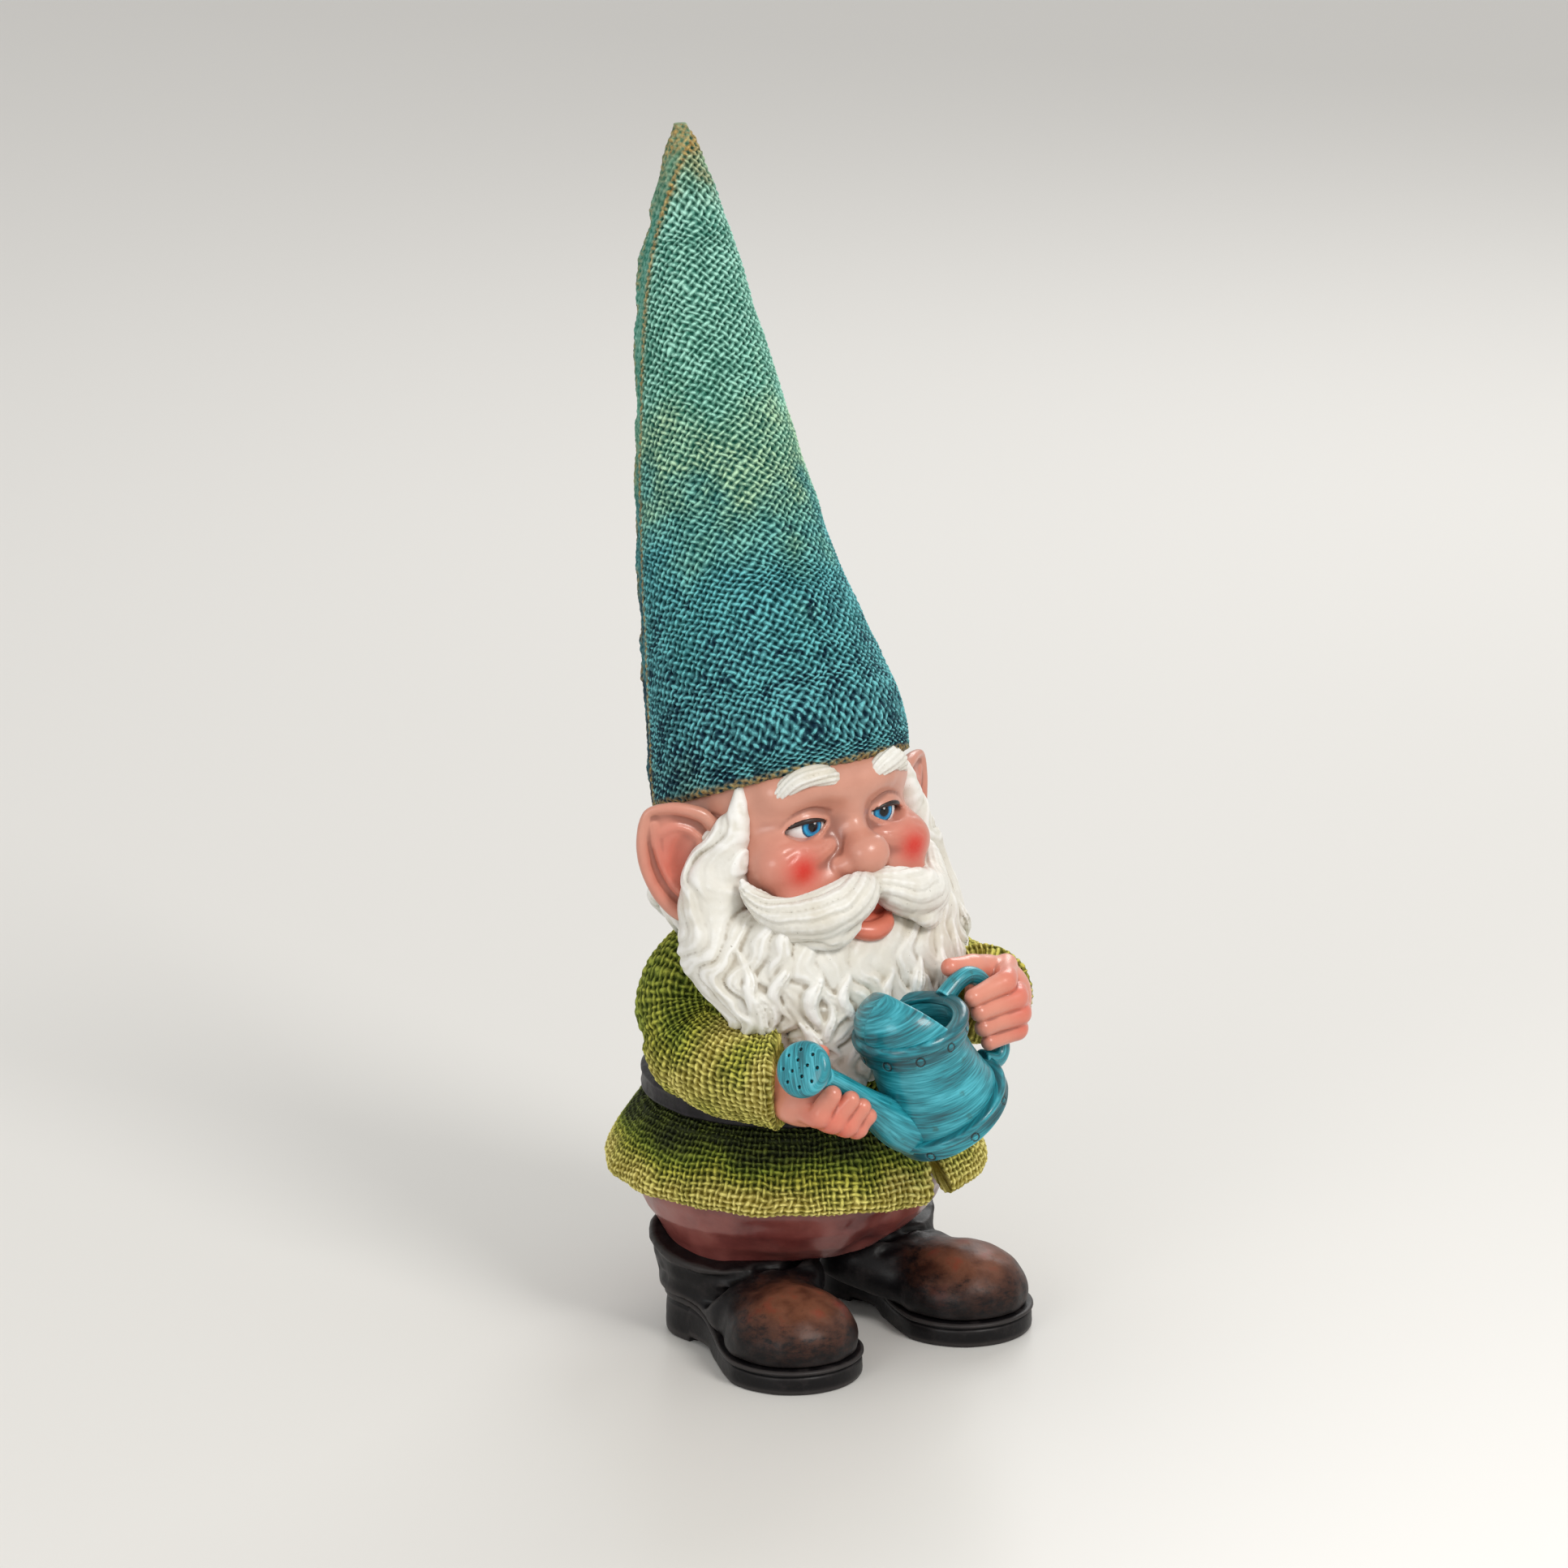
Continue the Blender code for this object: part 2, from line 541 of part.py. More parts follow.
def make_cover(*others):
    """The hood that closes the spout side of the can's mouth, a half cone with a slanting free edge."""
    shells = []
    for radius, rise in ((18, 14), (16.2, 12.2)):
        shells.append([ring(Vector((-6 * t, 0, rise * t**0.9)) * MM, radius * MM * (1 - t) ** 0.75,
                            radius * MM * (1 - t) ** 0.75, count=20) for t in (0, 0.25, 0.5, 0.75, 0.93)])
    obj = loft("can_cover", shells[0] + shells[1][::-1], "can", loop=True)
    away = bmesh.new()
    slope = Matrix.Translation(Vector((4, 0, 0)) * MM) @ Matrix.Rotation(math.radians(-33), 4, "Y")
    bmesh.ops.create_cube(away, size=0.1, matrix=slope @ Matrix.Translation((0.05, 0, 0)))
    drill(obj, away)
    keep_largest(obj)
    centre, axis = can_at(CAN_RIM + 0.9)
    obj.data.transform(Matrix.Translation(centre) @ Matrix.Rotation(-math.asin(-axis.x), 4, "Y"))
    return carve(obj, *others)


def sweep(name, path, finish, count=12):
    """A round tube along (x, y, z, radius) points in millimetres."""
    points = [point(x, y, z) for x, y, z, r in path]
    rings = []
    for i, centre in enumerate(points):
        along = points[min(i + 1, len(points) - 1)] - points[max(i - 1, 0)]
        rings.append(ring(centre, path[i][3] * MM, path[i][3] * MM, along, count))
    return loft(name, rings, finish)


HANDLE_PATH = [(13, -68, 127.5, 3), (18.5, -67.5, 131.5, 3), (24, -67, 133, 3), (29.5, -66.7, 130.5, 2.9),
               (33.5, -66.7, 124.5, 2.8), (35.8, -67.3, 117, 2.8), (36.8, -68.4, 110, 2.8), (36.4, -69.6, 104.6, 2.8),
               (33, -70.5, 102.2, 3), (27, -71, 103.6, 3.3)]
SPOUT_PATH = [(1, -71, 84.8, 10), (-8, -71, 88.2, 9), (-17, -71.5, 94.2, 6.6), (-26, -72.5, 101, 4.7),
              (-34.5, -73.5, 107.6, 3.9), (-42.5, -74.3, 112.8, 3.5)]
ROSE_PLACE = Matrix.Translation(point(-44.3, -74.6, 114.2)) @ turn_to((-0.84, -0.34, 0.42))


def make_rose(*others):
    """The sprinkler: a short flared cup with a slightly domed face."""
    profile = [(3.9, -1), (5.2, 2), (8.4, 6.5), (9.4, 9), (9.1, 11), (6.6, 12), (3, 12.5)]
    obj = loft("can_rose", [ring((0, 0, z * MM), r * MM, r * MM, count=18) for r, z in profile], "can")
    obj.data.transform(ROSE_PLACE)
    return carve(obj, *others)


# ---- hands --------------------------------------------------------------------------------------
RIGHT_FINGERS = [   # root, middle joint and tip of each finger, from the first to the little finger
    ((-46, -62, 99), (-44.5, -73.5, 99.5), (-41.9, -78.5, 106.8)),
    ((-41, -62, 97), (-39.6, -75, 97), (-34.9, -79.5, 103.2)),
    ((-36, -62, 95.5), (-34.9, -75.8, 95), (-30.4, -79.5, 99.9)),
    ((-31, -62, 94.5), (-30.2, -75.2, 92.9), (-27.3, -79, 96.2)),
]
LEFT_FINGERS = [
    ((45, -62, 130), (35, -72, 129.6), (20.8, -73.6, 127.6)),
    ((48, -62, 124.2), (39, -72.4, 123.4), (23.4, -74, 121.8)),
    ((48.5, -62, 118.2), (40.4, -72.4, 117.8), (25.2, -74, 116.4)),
    ((47, -62, 112.6), (40.6, -71.4, 112.2), (28, -73.6, 110.8)),
]


def add_fingers(bm, fingers):
    for k, (root, joint, tip) in enumerate(fingers):
        bar(bm, point(*root), point(*joint), 4 * MM, 3.8 * MM, 10)
        bar(bm, point(*joint), point(*tip), 3.7 * MM, 3.2 * MM, 10)


def make_right_hand(*others):
    """The hand under the spout, its fingers curled up in front of it."""
    bm = bmesh.new()
    ball(bm, point(-39.5, -60, 99.5), (11.5 * MM, 12 * MM, 8 * MM))
    bar(bm, point(-39, -46, 103), point(-39.5, -57, 100.5), 8.5 * MM, 9 * MM)
    add_fingers(bm, RIGHT_FINGERS)
    bar(bm, point(-41, -58, 106), point(-35.5, -63, 114), 4.5 * MM, 3.6 * MM)
    return carve(fuse("right_hand", bm, "skin", 460, 1 * MM, 3), *others)


def make_left_hand(*others):
    """The fist round the can's handle, its thumb laid over the top."""
    bm = bmesh.new()
    ball(bm, point(45, -59, 119.5), (9.5 * MM, 10 * MM, 11.5 * MM))
    add_fingers(bm, LEFT_FINGERS)
    bar(bm, point(43, -58, 127), point(31, -61.5, 132.6), 5 * MM, 4.4 * MM)
    bar(bm, point(31, -61.5, 132.6), point(20.5, -62.5, 135.2), 4.4 * MM, 3.2 * MM)
    return carve(fuse("left_hand", bm, "skin", 460, 1 * MM, 3), *others)


# ---- the figure ---------------------------------------------------------------------------------
def build():
    for obj in list(bpy.data.objects):
        bpy.data.objects.remove(obj)
    skirt = make_skirt()
    belt = carve(turned("belt", BELT_PROFILE, "belt"))
    torso = make_torso()
    trousers = make_trousers(skirt, belt)
    for name, side in (("right", -1), ("left", 1)):
        boot(name + "_boot", side, carve(sole(name + "_sole", side)), trousers)
    eyes = [carve(make_eye("right_eye", -1)), carve(make_eye("left_eye", 1))]
    head = make_head(torso, *eyes)
    hat = make_hat(head)
    ears = [make_ear("right_ear", -1, head, hat), make_ear("left_ear", 1, head, hat)]

    body = make_can_body()
    base_band = make_band("can_base_band", [(19, 0.4), (21.4, 0.4), (21.7, 4), (22.2, 5.2), (21.2, 6.3), (19, 6.3)],
                          body)
    top_band = make_band("can_top_band", [(16.5, 33.2), (18.4, 33.2), (18.7, 37), (19.7, 38), (19.7, 39.6),
                                          (18.6, 40.5), (17.4, 40.3), (16.5, 37)], body)
    cover = make_cover(body, top_band)
    handle = carve(sweep("can_handle", HANDLE_PATH, "can"), body, base_band, top_band, cover)
    spout = carve(sweep("can_spout", SPOUT_PATH, "can", 14), body, base_band)
    rose = make_rose(spout)
    can = [body, base_band, top_band, cover, handle, spout, rose]

    right_hand = make_right_hand(*can)
    left_hand = make_left_hand(*can)
    clothes = [torso, belt, skirt]
    right_sleeve = make_sleeve("right_sleeve", -1, right_hand, *clothes, *can)
    left_sleeve = make_sleeve("left_sleeve", 1, left_hand, *clothes, *can)
    arms = [right_hand, left_hand, right_sleeve, left_sleeve]

    hair = make_back_hair(head, hat, *ears, *clothes, *arms)
    lip = make_lip(head)
    beard = make_beard(head, hat, *ears, *clothes, *arms, *can, hair, lip, *eyes)
    make_moustache(head, beard, lip, *ears)
    for name, side in (("right_brow", -1), ("left_brow", 1)):
        make_brow(name, side, head, hat)
    for obj in bpy.data.objects:
        obj.data.transform(Matrix.Translation(AXIS_SHIFT))
        obj.data.shade_smooth()


build()
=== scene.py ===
"""Looks for the garden gnome: woven cloth, painted skin, sculpted hair, a brushed can and worn boots.

Lengths are millimetres until a mesh is made. Shapes are worked out around the gnome's own axis, and PLACE
moves them onto the CAD frame. The gnome looks along -Y and its right hand is at -X, which is side -1.
"""

import math

import bpy
import numpy as np
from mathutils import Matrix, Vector


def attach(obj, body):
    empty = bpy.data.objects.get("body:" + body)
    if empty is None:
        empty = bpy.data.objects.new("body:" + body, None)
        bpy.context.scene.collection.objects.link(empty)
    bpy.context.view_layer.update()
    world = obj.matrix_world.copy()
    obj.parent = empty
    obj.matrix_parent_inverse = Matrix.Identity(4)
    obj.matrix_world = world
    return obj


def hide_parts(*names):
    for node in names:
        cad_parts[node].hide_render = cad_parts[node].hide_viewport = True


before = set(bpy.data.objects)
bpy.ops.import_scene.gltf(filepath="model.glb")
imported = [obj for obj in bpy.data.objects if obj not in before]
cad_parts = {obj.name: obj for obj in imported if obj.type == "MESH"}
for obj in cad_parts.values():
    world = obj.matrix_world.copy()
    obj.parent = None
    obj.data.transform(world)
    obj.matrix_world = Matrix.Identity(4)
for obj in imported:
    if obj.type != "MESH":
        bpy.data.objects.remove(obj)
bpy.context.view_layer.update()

MM = 0.001
PLACE = np.array((-3.675, 10.487, 0.0))
TAU = 2 * math.pi
THREAD = 2.28                # spacing of the burlap's threads
RISE, NARROW = 0.42, 12.5    # how far threads rise over each other, and how slender they are


def fine(full):
    return full


FINE = fine(0.6)        # grid step of the large sculpted pieces


# ---- numbers on a surface ----
def smooth(low, high, x):
    """0 below low, 1 above high, with soft ends."""
    t = np.clip((x - low) / (high - low), 0, 1)
    return t * t * (3 - 2 * t)


def lattice(cell, seed):
    """A repeatable random number from 0 to 1 for each whole-number cell."""
    h = cell[..., 0] * 374761393 + cell[..., 1] * 668265263 + cell[..., 2] * 2147483647 + seed * 974634777
    h = (h ^ (h >> 13)) * 1274126177
    return ((h ^ (h >> 16)) & 0xFFFF) / 65535.0


def noise(points, size, seed=0):
    """Smooth random hills from -1 to 1, about size millimetres across."""
    q = np.asarray(points) / size
    cell = np.floor(q).astype(np.int64)
    f = q - cell
    f = f * f * (3 - 2 * f)
    total = 0
    for i in (0, 1):
        for j in (0, 1):
            for k in (0, 1):
                weight = (f[..., 0] if i else 1 - f[..., 0]) * (f[..., 1] if j else 1 - f[..., 1])
                weight = weight * (f[..., 2] if k else 1 - f[..., 2])
                total = total + weight * lattice(cell + np.array((i, j, k)), seed)
    return 2 * total - 1


def distances(points):
    """How far each point of a path is from its start, measured along the path."""
    return np.r_[0, np.cumsum(np.linalg.norm(np.diff(points, axis=0), axis=1))]


def turns(count):
    """Evenly spaced angles round a full turn."""
    return np.arange(count) / count * TAU


def mirror(side, rows):
    """Rows that start with x, as given for side 1 or mirrored for side -1."""
    return [(side * row[0], *row[1:]) for row in rows]


def spline(points, count):
    """A smooth curve through rows of numbers, resampled to evenly spaced rows."""
    p = np.array(points, float)
    p = np.vstack([2 * p[0] - p[1], p, 2 * p[-1] - p[-2]])
    t = np.linspace(0, 1, 12, endpoint=False)[:, None]
    rows = []
    for a, b, c, d in zip(p, p[1:], p[2:], p[3:]):
        bend = 2 * b + (c - a) * t + (2 * a - 5 * b + 4 * c - d) * t**2
        rows.append(0.5 * (bend + (3 * b - a - 3 * c + d) * t**3))
    rows = np.vstack(rows + [p[-2:-1]])
    way = distances(rows[:, :3])
    spots = np.linspace(0, way[-1], count)
    return np.stack([np.interp(spots, way, column) for column in rows.T], axis=1)


def unit(v):
    """Vectors of length 1 with the same directions."""
    v = np.asarray(v, float)
    return v / np.maximum(np.linalg.norm(v, axis=-1, keepdims=True), 1e-9)


# ---- meshes ----
def face_normals(verts, quads):
    """The normal of each face, as long as the face is large."""
    return np.cross(verts[quads[:, 2]] - verts[quads[:, 0]], verts[quads[:, 3]] - verts[quads[:, 1]])


def gather(index, values, count):
    """Adds up the rows of values that have the same index."""
    return np.stack([np.bincount(index, values[:, k], count) for k in range(values.shape[1])], axis=1)


def normals(verts, quads):
    """The outward direction at each point."""
    flat = face_normals(verts, quads)
    return unit(sum(gather(quads[:, k], flat, len(verts)) for k in range(4)))


def relax(values, quads, rounds):
    """Averages a value over the mesh, a little further with each round."""
    values = np.array(values, float)
    if values.ndim == 1:
        return relax(values[:, None], quads, rounds)[:, 0]
    a, b = quads.ravel(), np.roll(quads, -1, axis=1).ravel()
    degree = np.bincount(np.r_[a, b], minlength=len(values))[:, None].clip(1)
    for _ in range(rounds):
        values = (gather(a, values[b], len(values)) + gather(b, values[a], len(values))) / degree
    return values


def relief(verts, quads, rounds=14):
    """How far each point stands proud of its surroundings: above 0 on ridges, below 0 in grooves."""
    return np.einsum("ij,ij->i", verts - relax(verts, quads, rounds), normals(verts, quads))


def piece(name, verts, quads, finish, nodes=(), masks=None):
    """A smooth-shaded object that rides on the figure. masks are named numbers for its material."""
    verts, quads = np.asarray(verts, float), np.asarray(quads, np.int32)
    mesh = bpy.data.meshes.new(name)
    mesh.vertices.add(len(verts))
    mesh.vertices.foreach_set("co", ((verts + PLACE) * MM).astype(np.float32).ravel())
    mesh.loops.add(quads.size)
    mesh.loops.foreach_set("vertex_index", quads.ravel())
    mesh.polygons.add(len(quads))
    mesh.polygons.foreach_set("loop_start", np.arange(0, quads.size, 4, dtype=np.int32))
    mesh.polygons.foreach_set("use_smooth", np.ones(len(quads), bool))
    mesh.update(calc_edges=True)
    mesh.validate()
    for key, values in (masks or {}).items():
        layer = mesh.attributes.new(key, "FLOAT", "POINT")
        layer.data.foreach_set("value", np.asarray(values, np.float32).ravel())
    mesh.materials.append(finish)
    obj = bpy.data.objects.new(name, mesh)
    bpy.context.scene.collection.objects.link(obj)
    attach(obj, "root")
    if nodes:
        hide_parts(*nodes)
    return obj


def grid_quads(points, ring=False):
    """Faces of a grid of points. Columns run anticlockwise round an axis that the rows climb. In a ring the
    last row meets the first."""
    rows, columns = points.shape[:2]
    row = np.arange(rows if ring else rows - 1)[:, None]
    column = np.arange(columns)[None, :]
    above, beside = (row + 1) % rows, (column + 1) % columns
    corners = (row, column), (row, beside), (above, beside), (above, column)
    return np.stack([i * columns + j for i, j in corners], axis=-1).reshape(-1, 4)


def grid_normals(points):
    """The outward direction at each point of a grid that grid_quads joins."""
    across = (np.roll(points, -1, axis=1) - np.roll(points, 1, axis=1)) / 2
    return unit(np.cross(across, np.gradient(points, axis=0)))


def raised(points, height):
    """A grid of points moved outwards, each by its own height."""
    return points + grid_normals(points) * height[..., None]


def crosswise(direction):
    """An axis that is never along a direction: upright, or level where the direction is nearly upright."""
    return (0.0, 0.0, 1.0) if abs(direction[2]) < 0.9 else (0.0, 1.0, 0.0)


def tube(path, columns):
    """Rings round a path of (x, y, z, radius) rows: the points, angles and distance along the path."""
    centre, radius = path[:, :3], path[:, 3]
    along = unit(np.gradient(centre, axis=0))
    side = np.cross(along[0], crosswise(along[0]))
    sides = []
    for direction in along:
        side = unit(side - direction * np.dot(side, direction))
        sides.append(side)
    sides = np.array(sides)
    angle = turns(columns)
    cosine, sine = np.cos(angle)[None, :, None], np.sin(angle)[None, :, None]
    out = sides[:, None] * cosine + np.cross(along, sides)[:, None] * sine
    return centre[:, None] + out * radius[:, None, None], angle, distances(centre)


def closed_ends(points, steps=6):
    """Adds shrinking rings at both ends of a grid, so that it is one closed skin, and says how many."""

    def cap(edge):
        middle = edge.mean(axis=0)
        return [middle + (edge - middle) * s for s in np.linspace(1, 0.02, steps)[1:]]

    return np.array(cap(points[0])[::-1] + list(points) + cap(points[-1])), steps - 1


# ---- sculpting clay ----
def soft_min(a, b, blend):
    """The smaller of two distances, rounded off where they are within about blend of each other."""
    if blend <= 0:
        return np.minimum(a, b)
    h = np.maximum(blend - np.abs(a - b), 0) / blend
    return np.minimum(a, b) - h * h * blend / 4


class Clay:
    """A lump of clay held as a grid of distances, below 0 inside. Shapes are added or pressed into it."""

    def __init__(self, low, high, step=None):
        self.step = step or FINE
        self.low = np.array(low, float)
        self.size = np.ceil((np.array(high) - self.low) / self.step).astype(int) + 1
        self.field = np.full(self.size, 8.0, np.float32)

    def grid(self):
        """The x, y and z of the whole grid, each along its own axis."""
        x, y, z = [np.arange(n) * self.step + low for n, low in zip(self.size, self.low)]
        return x[:, None, None], y[None, :, None], z[None, None, :]

    def window(self, low, high, margin):
        """The part of the grid near a box: where it is in the field, and its x, y and z."""
        a = np.floor((np.asarray(low) - margin - self.low) / self.step).astype(int)
        b = np.ceil((np.asarray(high) + margin - self.low) / self.step).astype(int) + 1
        a, b = np.clip(a, 0, self.size), np.clip(b, 0, self.size)
        axes = [(self.low[k] + self.step * np.arange(a[k], b[k])).astype(np.float32) for k in range(3)]
        shape = tuple(slice(a[k], b[k]) for k in range(3))
        return shape, (axes[0][:, None, None], axes[1][None, :, None], axes[2][None, None, :])

    def merge(self, where, distance, blend, press):
        """Adds a shape given by its distances, or presses it in."""
        if press:
            self.field[where] = -soft_min(-self.field[where], distance, blend)
        else:
            self.field[where] = soft_min(self.field[where], distance, blend)

    def ball(self, centre, radii, blend=3.0, turn=None, press=False):
        """An ellipsoid. turn is a rotation matrix for its own axes."""
        centre, radii = np.array(centre, float), np.array(radii, float) * np.ones(3)
        reach = radii if turn is None else radii.max()
        where, (x, y, z) = self.window(centre - reach, centre + reach, blend + 3 * self.step)
        x, y, z = x - centre[0], y - centre[1], z - centre[2]
        if turn is not None:
            x, y, z = [turn[0][k] * x + turn[1][k] * y + turn[2][k] * z for k in range(3)]
        near = np.sqrt((x / radii[0]) ** 2 + (y / radii[1]) ** 2 + (z / radii[2]) ** 2)
        slope = np.sqrt((x / radii[0] ** 2) ** 2 + (y / radii[1] ** 2) ** 2 + (z / radii[2] ** 2) ** 2)
        self.merge(where, near * (near - 1) / np.maximum(slope, 1e-6), blend, press)

    def rod(self, path, blend=1.5, press=False, count=None):
        """A round bar through (x, y, z, radius) rows. With a count the path is smoothed first."""
        path = np.array(path, float)
        if count:
            path = spline(path, count)
        widest = path[:, 3].max()
        where, (x, y, z) = self.window(path[:, :3].min(0) - widest, path[:, :3].max(0) + widest,
                                       blend + 2 * self.step)
        best = None
        for a, b in zip(path, path[1:]):
            d = b - a
            length = max(np.dot(d[:3], d[:3]), 1e-6)
            t = np.clip(((x - a[0]) * d[0] + (y - a[1]) * d[1] + (z - a[2]) * d[2]) / length, 0, 1)
            away = (x - a[0] - t * d[0]) ** 2 + (y - a[1] - t * d[1]) ** 2 + (z - a[2] - t * d[2]) ** 2
            gap = np.sqrt(away) - (a[3] + t * d[3])
            best = gap if best is None else np.minimum(best, gap)
        if best is not None and best.size:
            self.merge(where, best, blend, press)

    def comb(self, height, reach=3.0):
        """Raises the surface by a height worked out from the points near it."""
        close = np.abs(self.field) < reach
        self.field[close] -= height(self.low + self.step * np.argwhere(close))

    def slit(self, centre, toward, half, up, down, tilt, blend=0.4):
        """Cuts an almond-shaped opening into everything ahead of a centre, seen along a level direction."""
        centre = np.array(centre, float)
        where, (x, y, z) = self.window(centre - 14, centre + 14, 0)
        x, y, z = x - centre[0], y - centre[1], z - centre[2]
        sideways = abs(toward[1]) * x + toward[0] * y
        along = sideways * math.cos(tilt) + z * math.sin(tilt)
        rise = z * math.cos(tilt) - sideways * math.sin(tilt)
        gap = 1.0 - (toward[0] * x + toward[1] * y)
        for bulge, way in ((up, 1), (down, -1)):
            radius = (half**2 + bulge**2) / (2 * bulge)
            gap = np.maximum(gap, np.sqrt(along**2 + (way * rise - bulge + radius) ** 2) - radius)
        self.merge(where, gap, blend, True)

    def slab(self, point, direction, blend=0.0):
        """Cuts away everything ahead of a plane."""
        where, (x, y, z) = self.window(self.low, self.low + self.size * self.step, 0)
        d = unit(direction)
        behind = -((x - point[0]) * d[0] + (y - point[1]) * d[1] + (z - point[2]) * d[2])
        self.merge(where, behind, blend, True)

    def front(self, x, z):
        """The y of the clay's frontmost surface at given x and z, or NaN where there is none."""
        i = np.clip(np.round((np.asarray(x) - self.low[0]) / self.step).astype(int), 0, self.size[0] - 1)
        k = np.clip(np.round((np.asarray(z) - self.low[2]) / self.step).astype(int), 0, self.size[2] - 1)
        solid = self.field[i, :, k] < 0
        j = np.maximum(solid.argmax(axis=-1), 1)
        outer, inner = self.field[i, j - 1, k], self.field[i, j, k]
        y = self.low[1] + (j - 1 + outer / np.maximum(outer - inner, 1e-6)) * self.step
        return np.where(solid.any(axis=-1), y, np.nan)

    def skin(self):
        """The clay's surface, as points and outward quads."""
        field, n = self.field, self.size - 1
        inside = field < 0

        def corner(a, at):
            return a[at[0]:n[0] + at[0], at[1]:n[1] + at[1], at[2]:n[2] + at[2]]

        places = [np.array((i, j, k)) for i in (0, 1) for j in (0, 1) for k in (0, 1)]
        full = sum(corner(inside, at).astype(np.int8) for at in places)
        cells = (full > 0) & (full < 8)
        number = np.full(cells.shape, -1, np.int64)
        spots = np.argwhere(cells)
        number[cells] = np.arange(len(spots))
        total, hits = np.zeros((len(spots), 3)), np.zeros(len(spots))
        for axis in range(3):
            step = np.eye(3, dtype=int)[axis]
            for at in places:
                if at[axis]:
                    continue
                a, b = corner(field, at)[cells], corner(field, at + step)[cells]
                cross = (a < 0) != (b < 0)
                t = np.where(cross, a / np.where(cross, a - b, 1), 0)
                total += cross[:, None] * (at + t[:, None] * step)
                hits += cross
        verts = self.low + self.step * (spots + total / hits[:, None])
        quads = []
        for axis in range(3):
            u, v = np.eye(3, dtype=int)[(axis + 1) % 3], np.eye(3, dtype=int)[(axis + 2) % 3]
            lower, upper = np.delete(inside, -1, axis), np.delete(inside, 0, axis)
            spot = np.argwhere(lower != upper)
            rest = [(axis + 1) % 3, (axis + 2) % 3]
            spot = spot[((spot[:, rest] > 0) & (spot[:, rest] < n[rest])).all(axis=1)]
            loop = np.stack([number[tuple((spot - back).T)] for back in (u + v, v, 0 * u, u)], axis=1)
            outward = lower[tuple(spot.T)]
            quads.append(np.where(outward[:, None], loop, loop[:, ::-1]))
        return verts, np.vstack(quads)


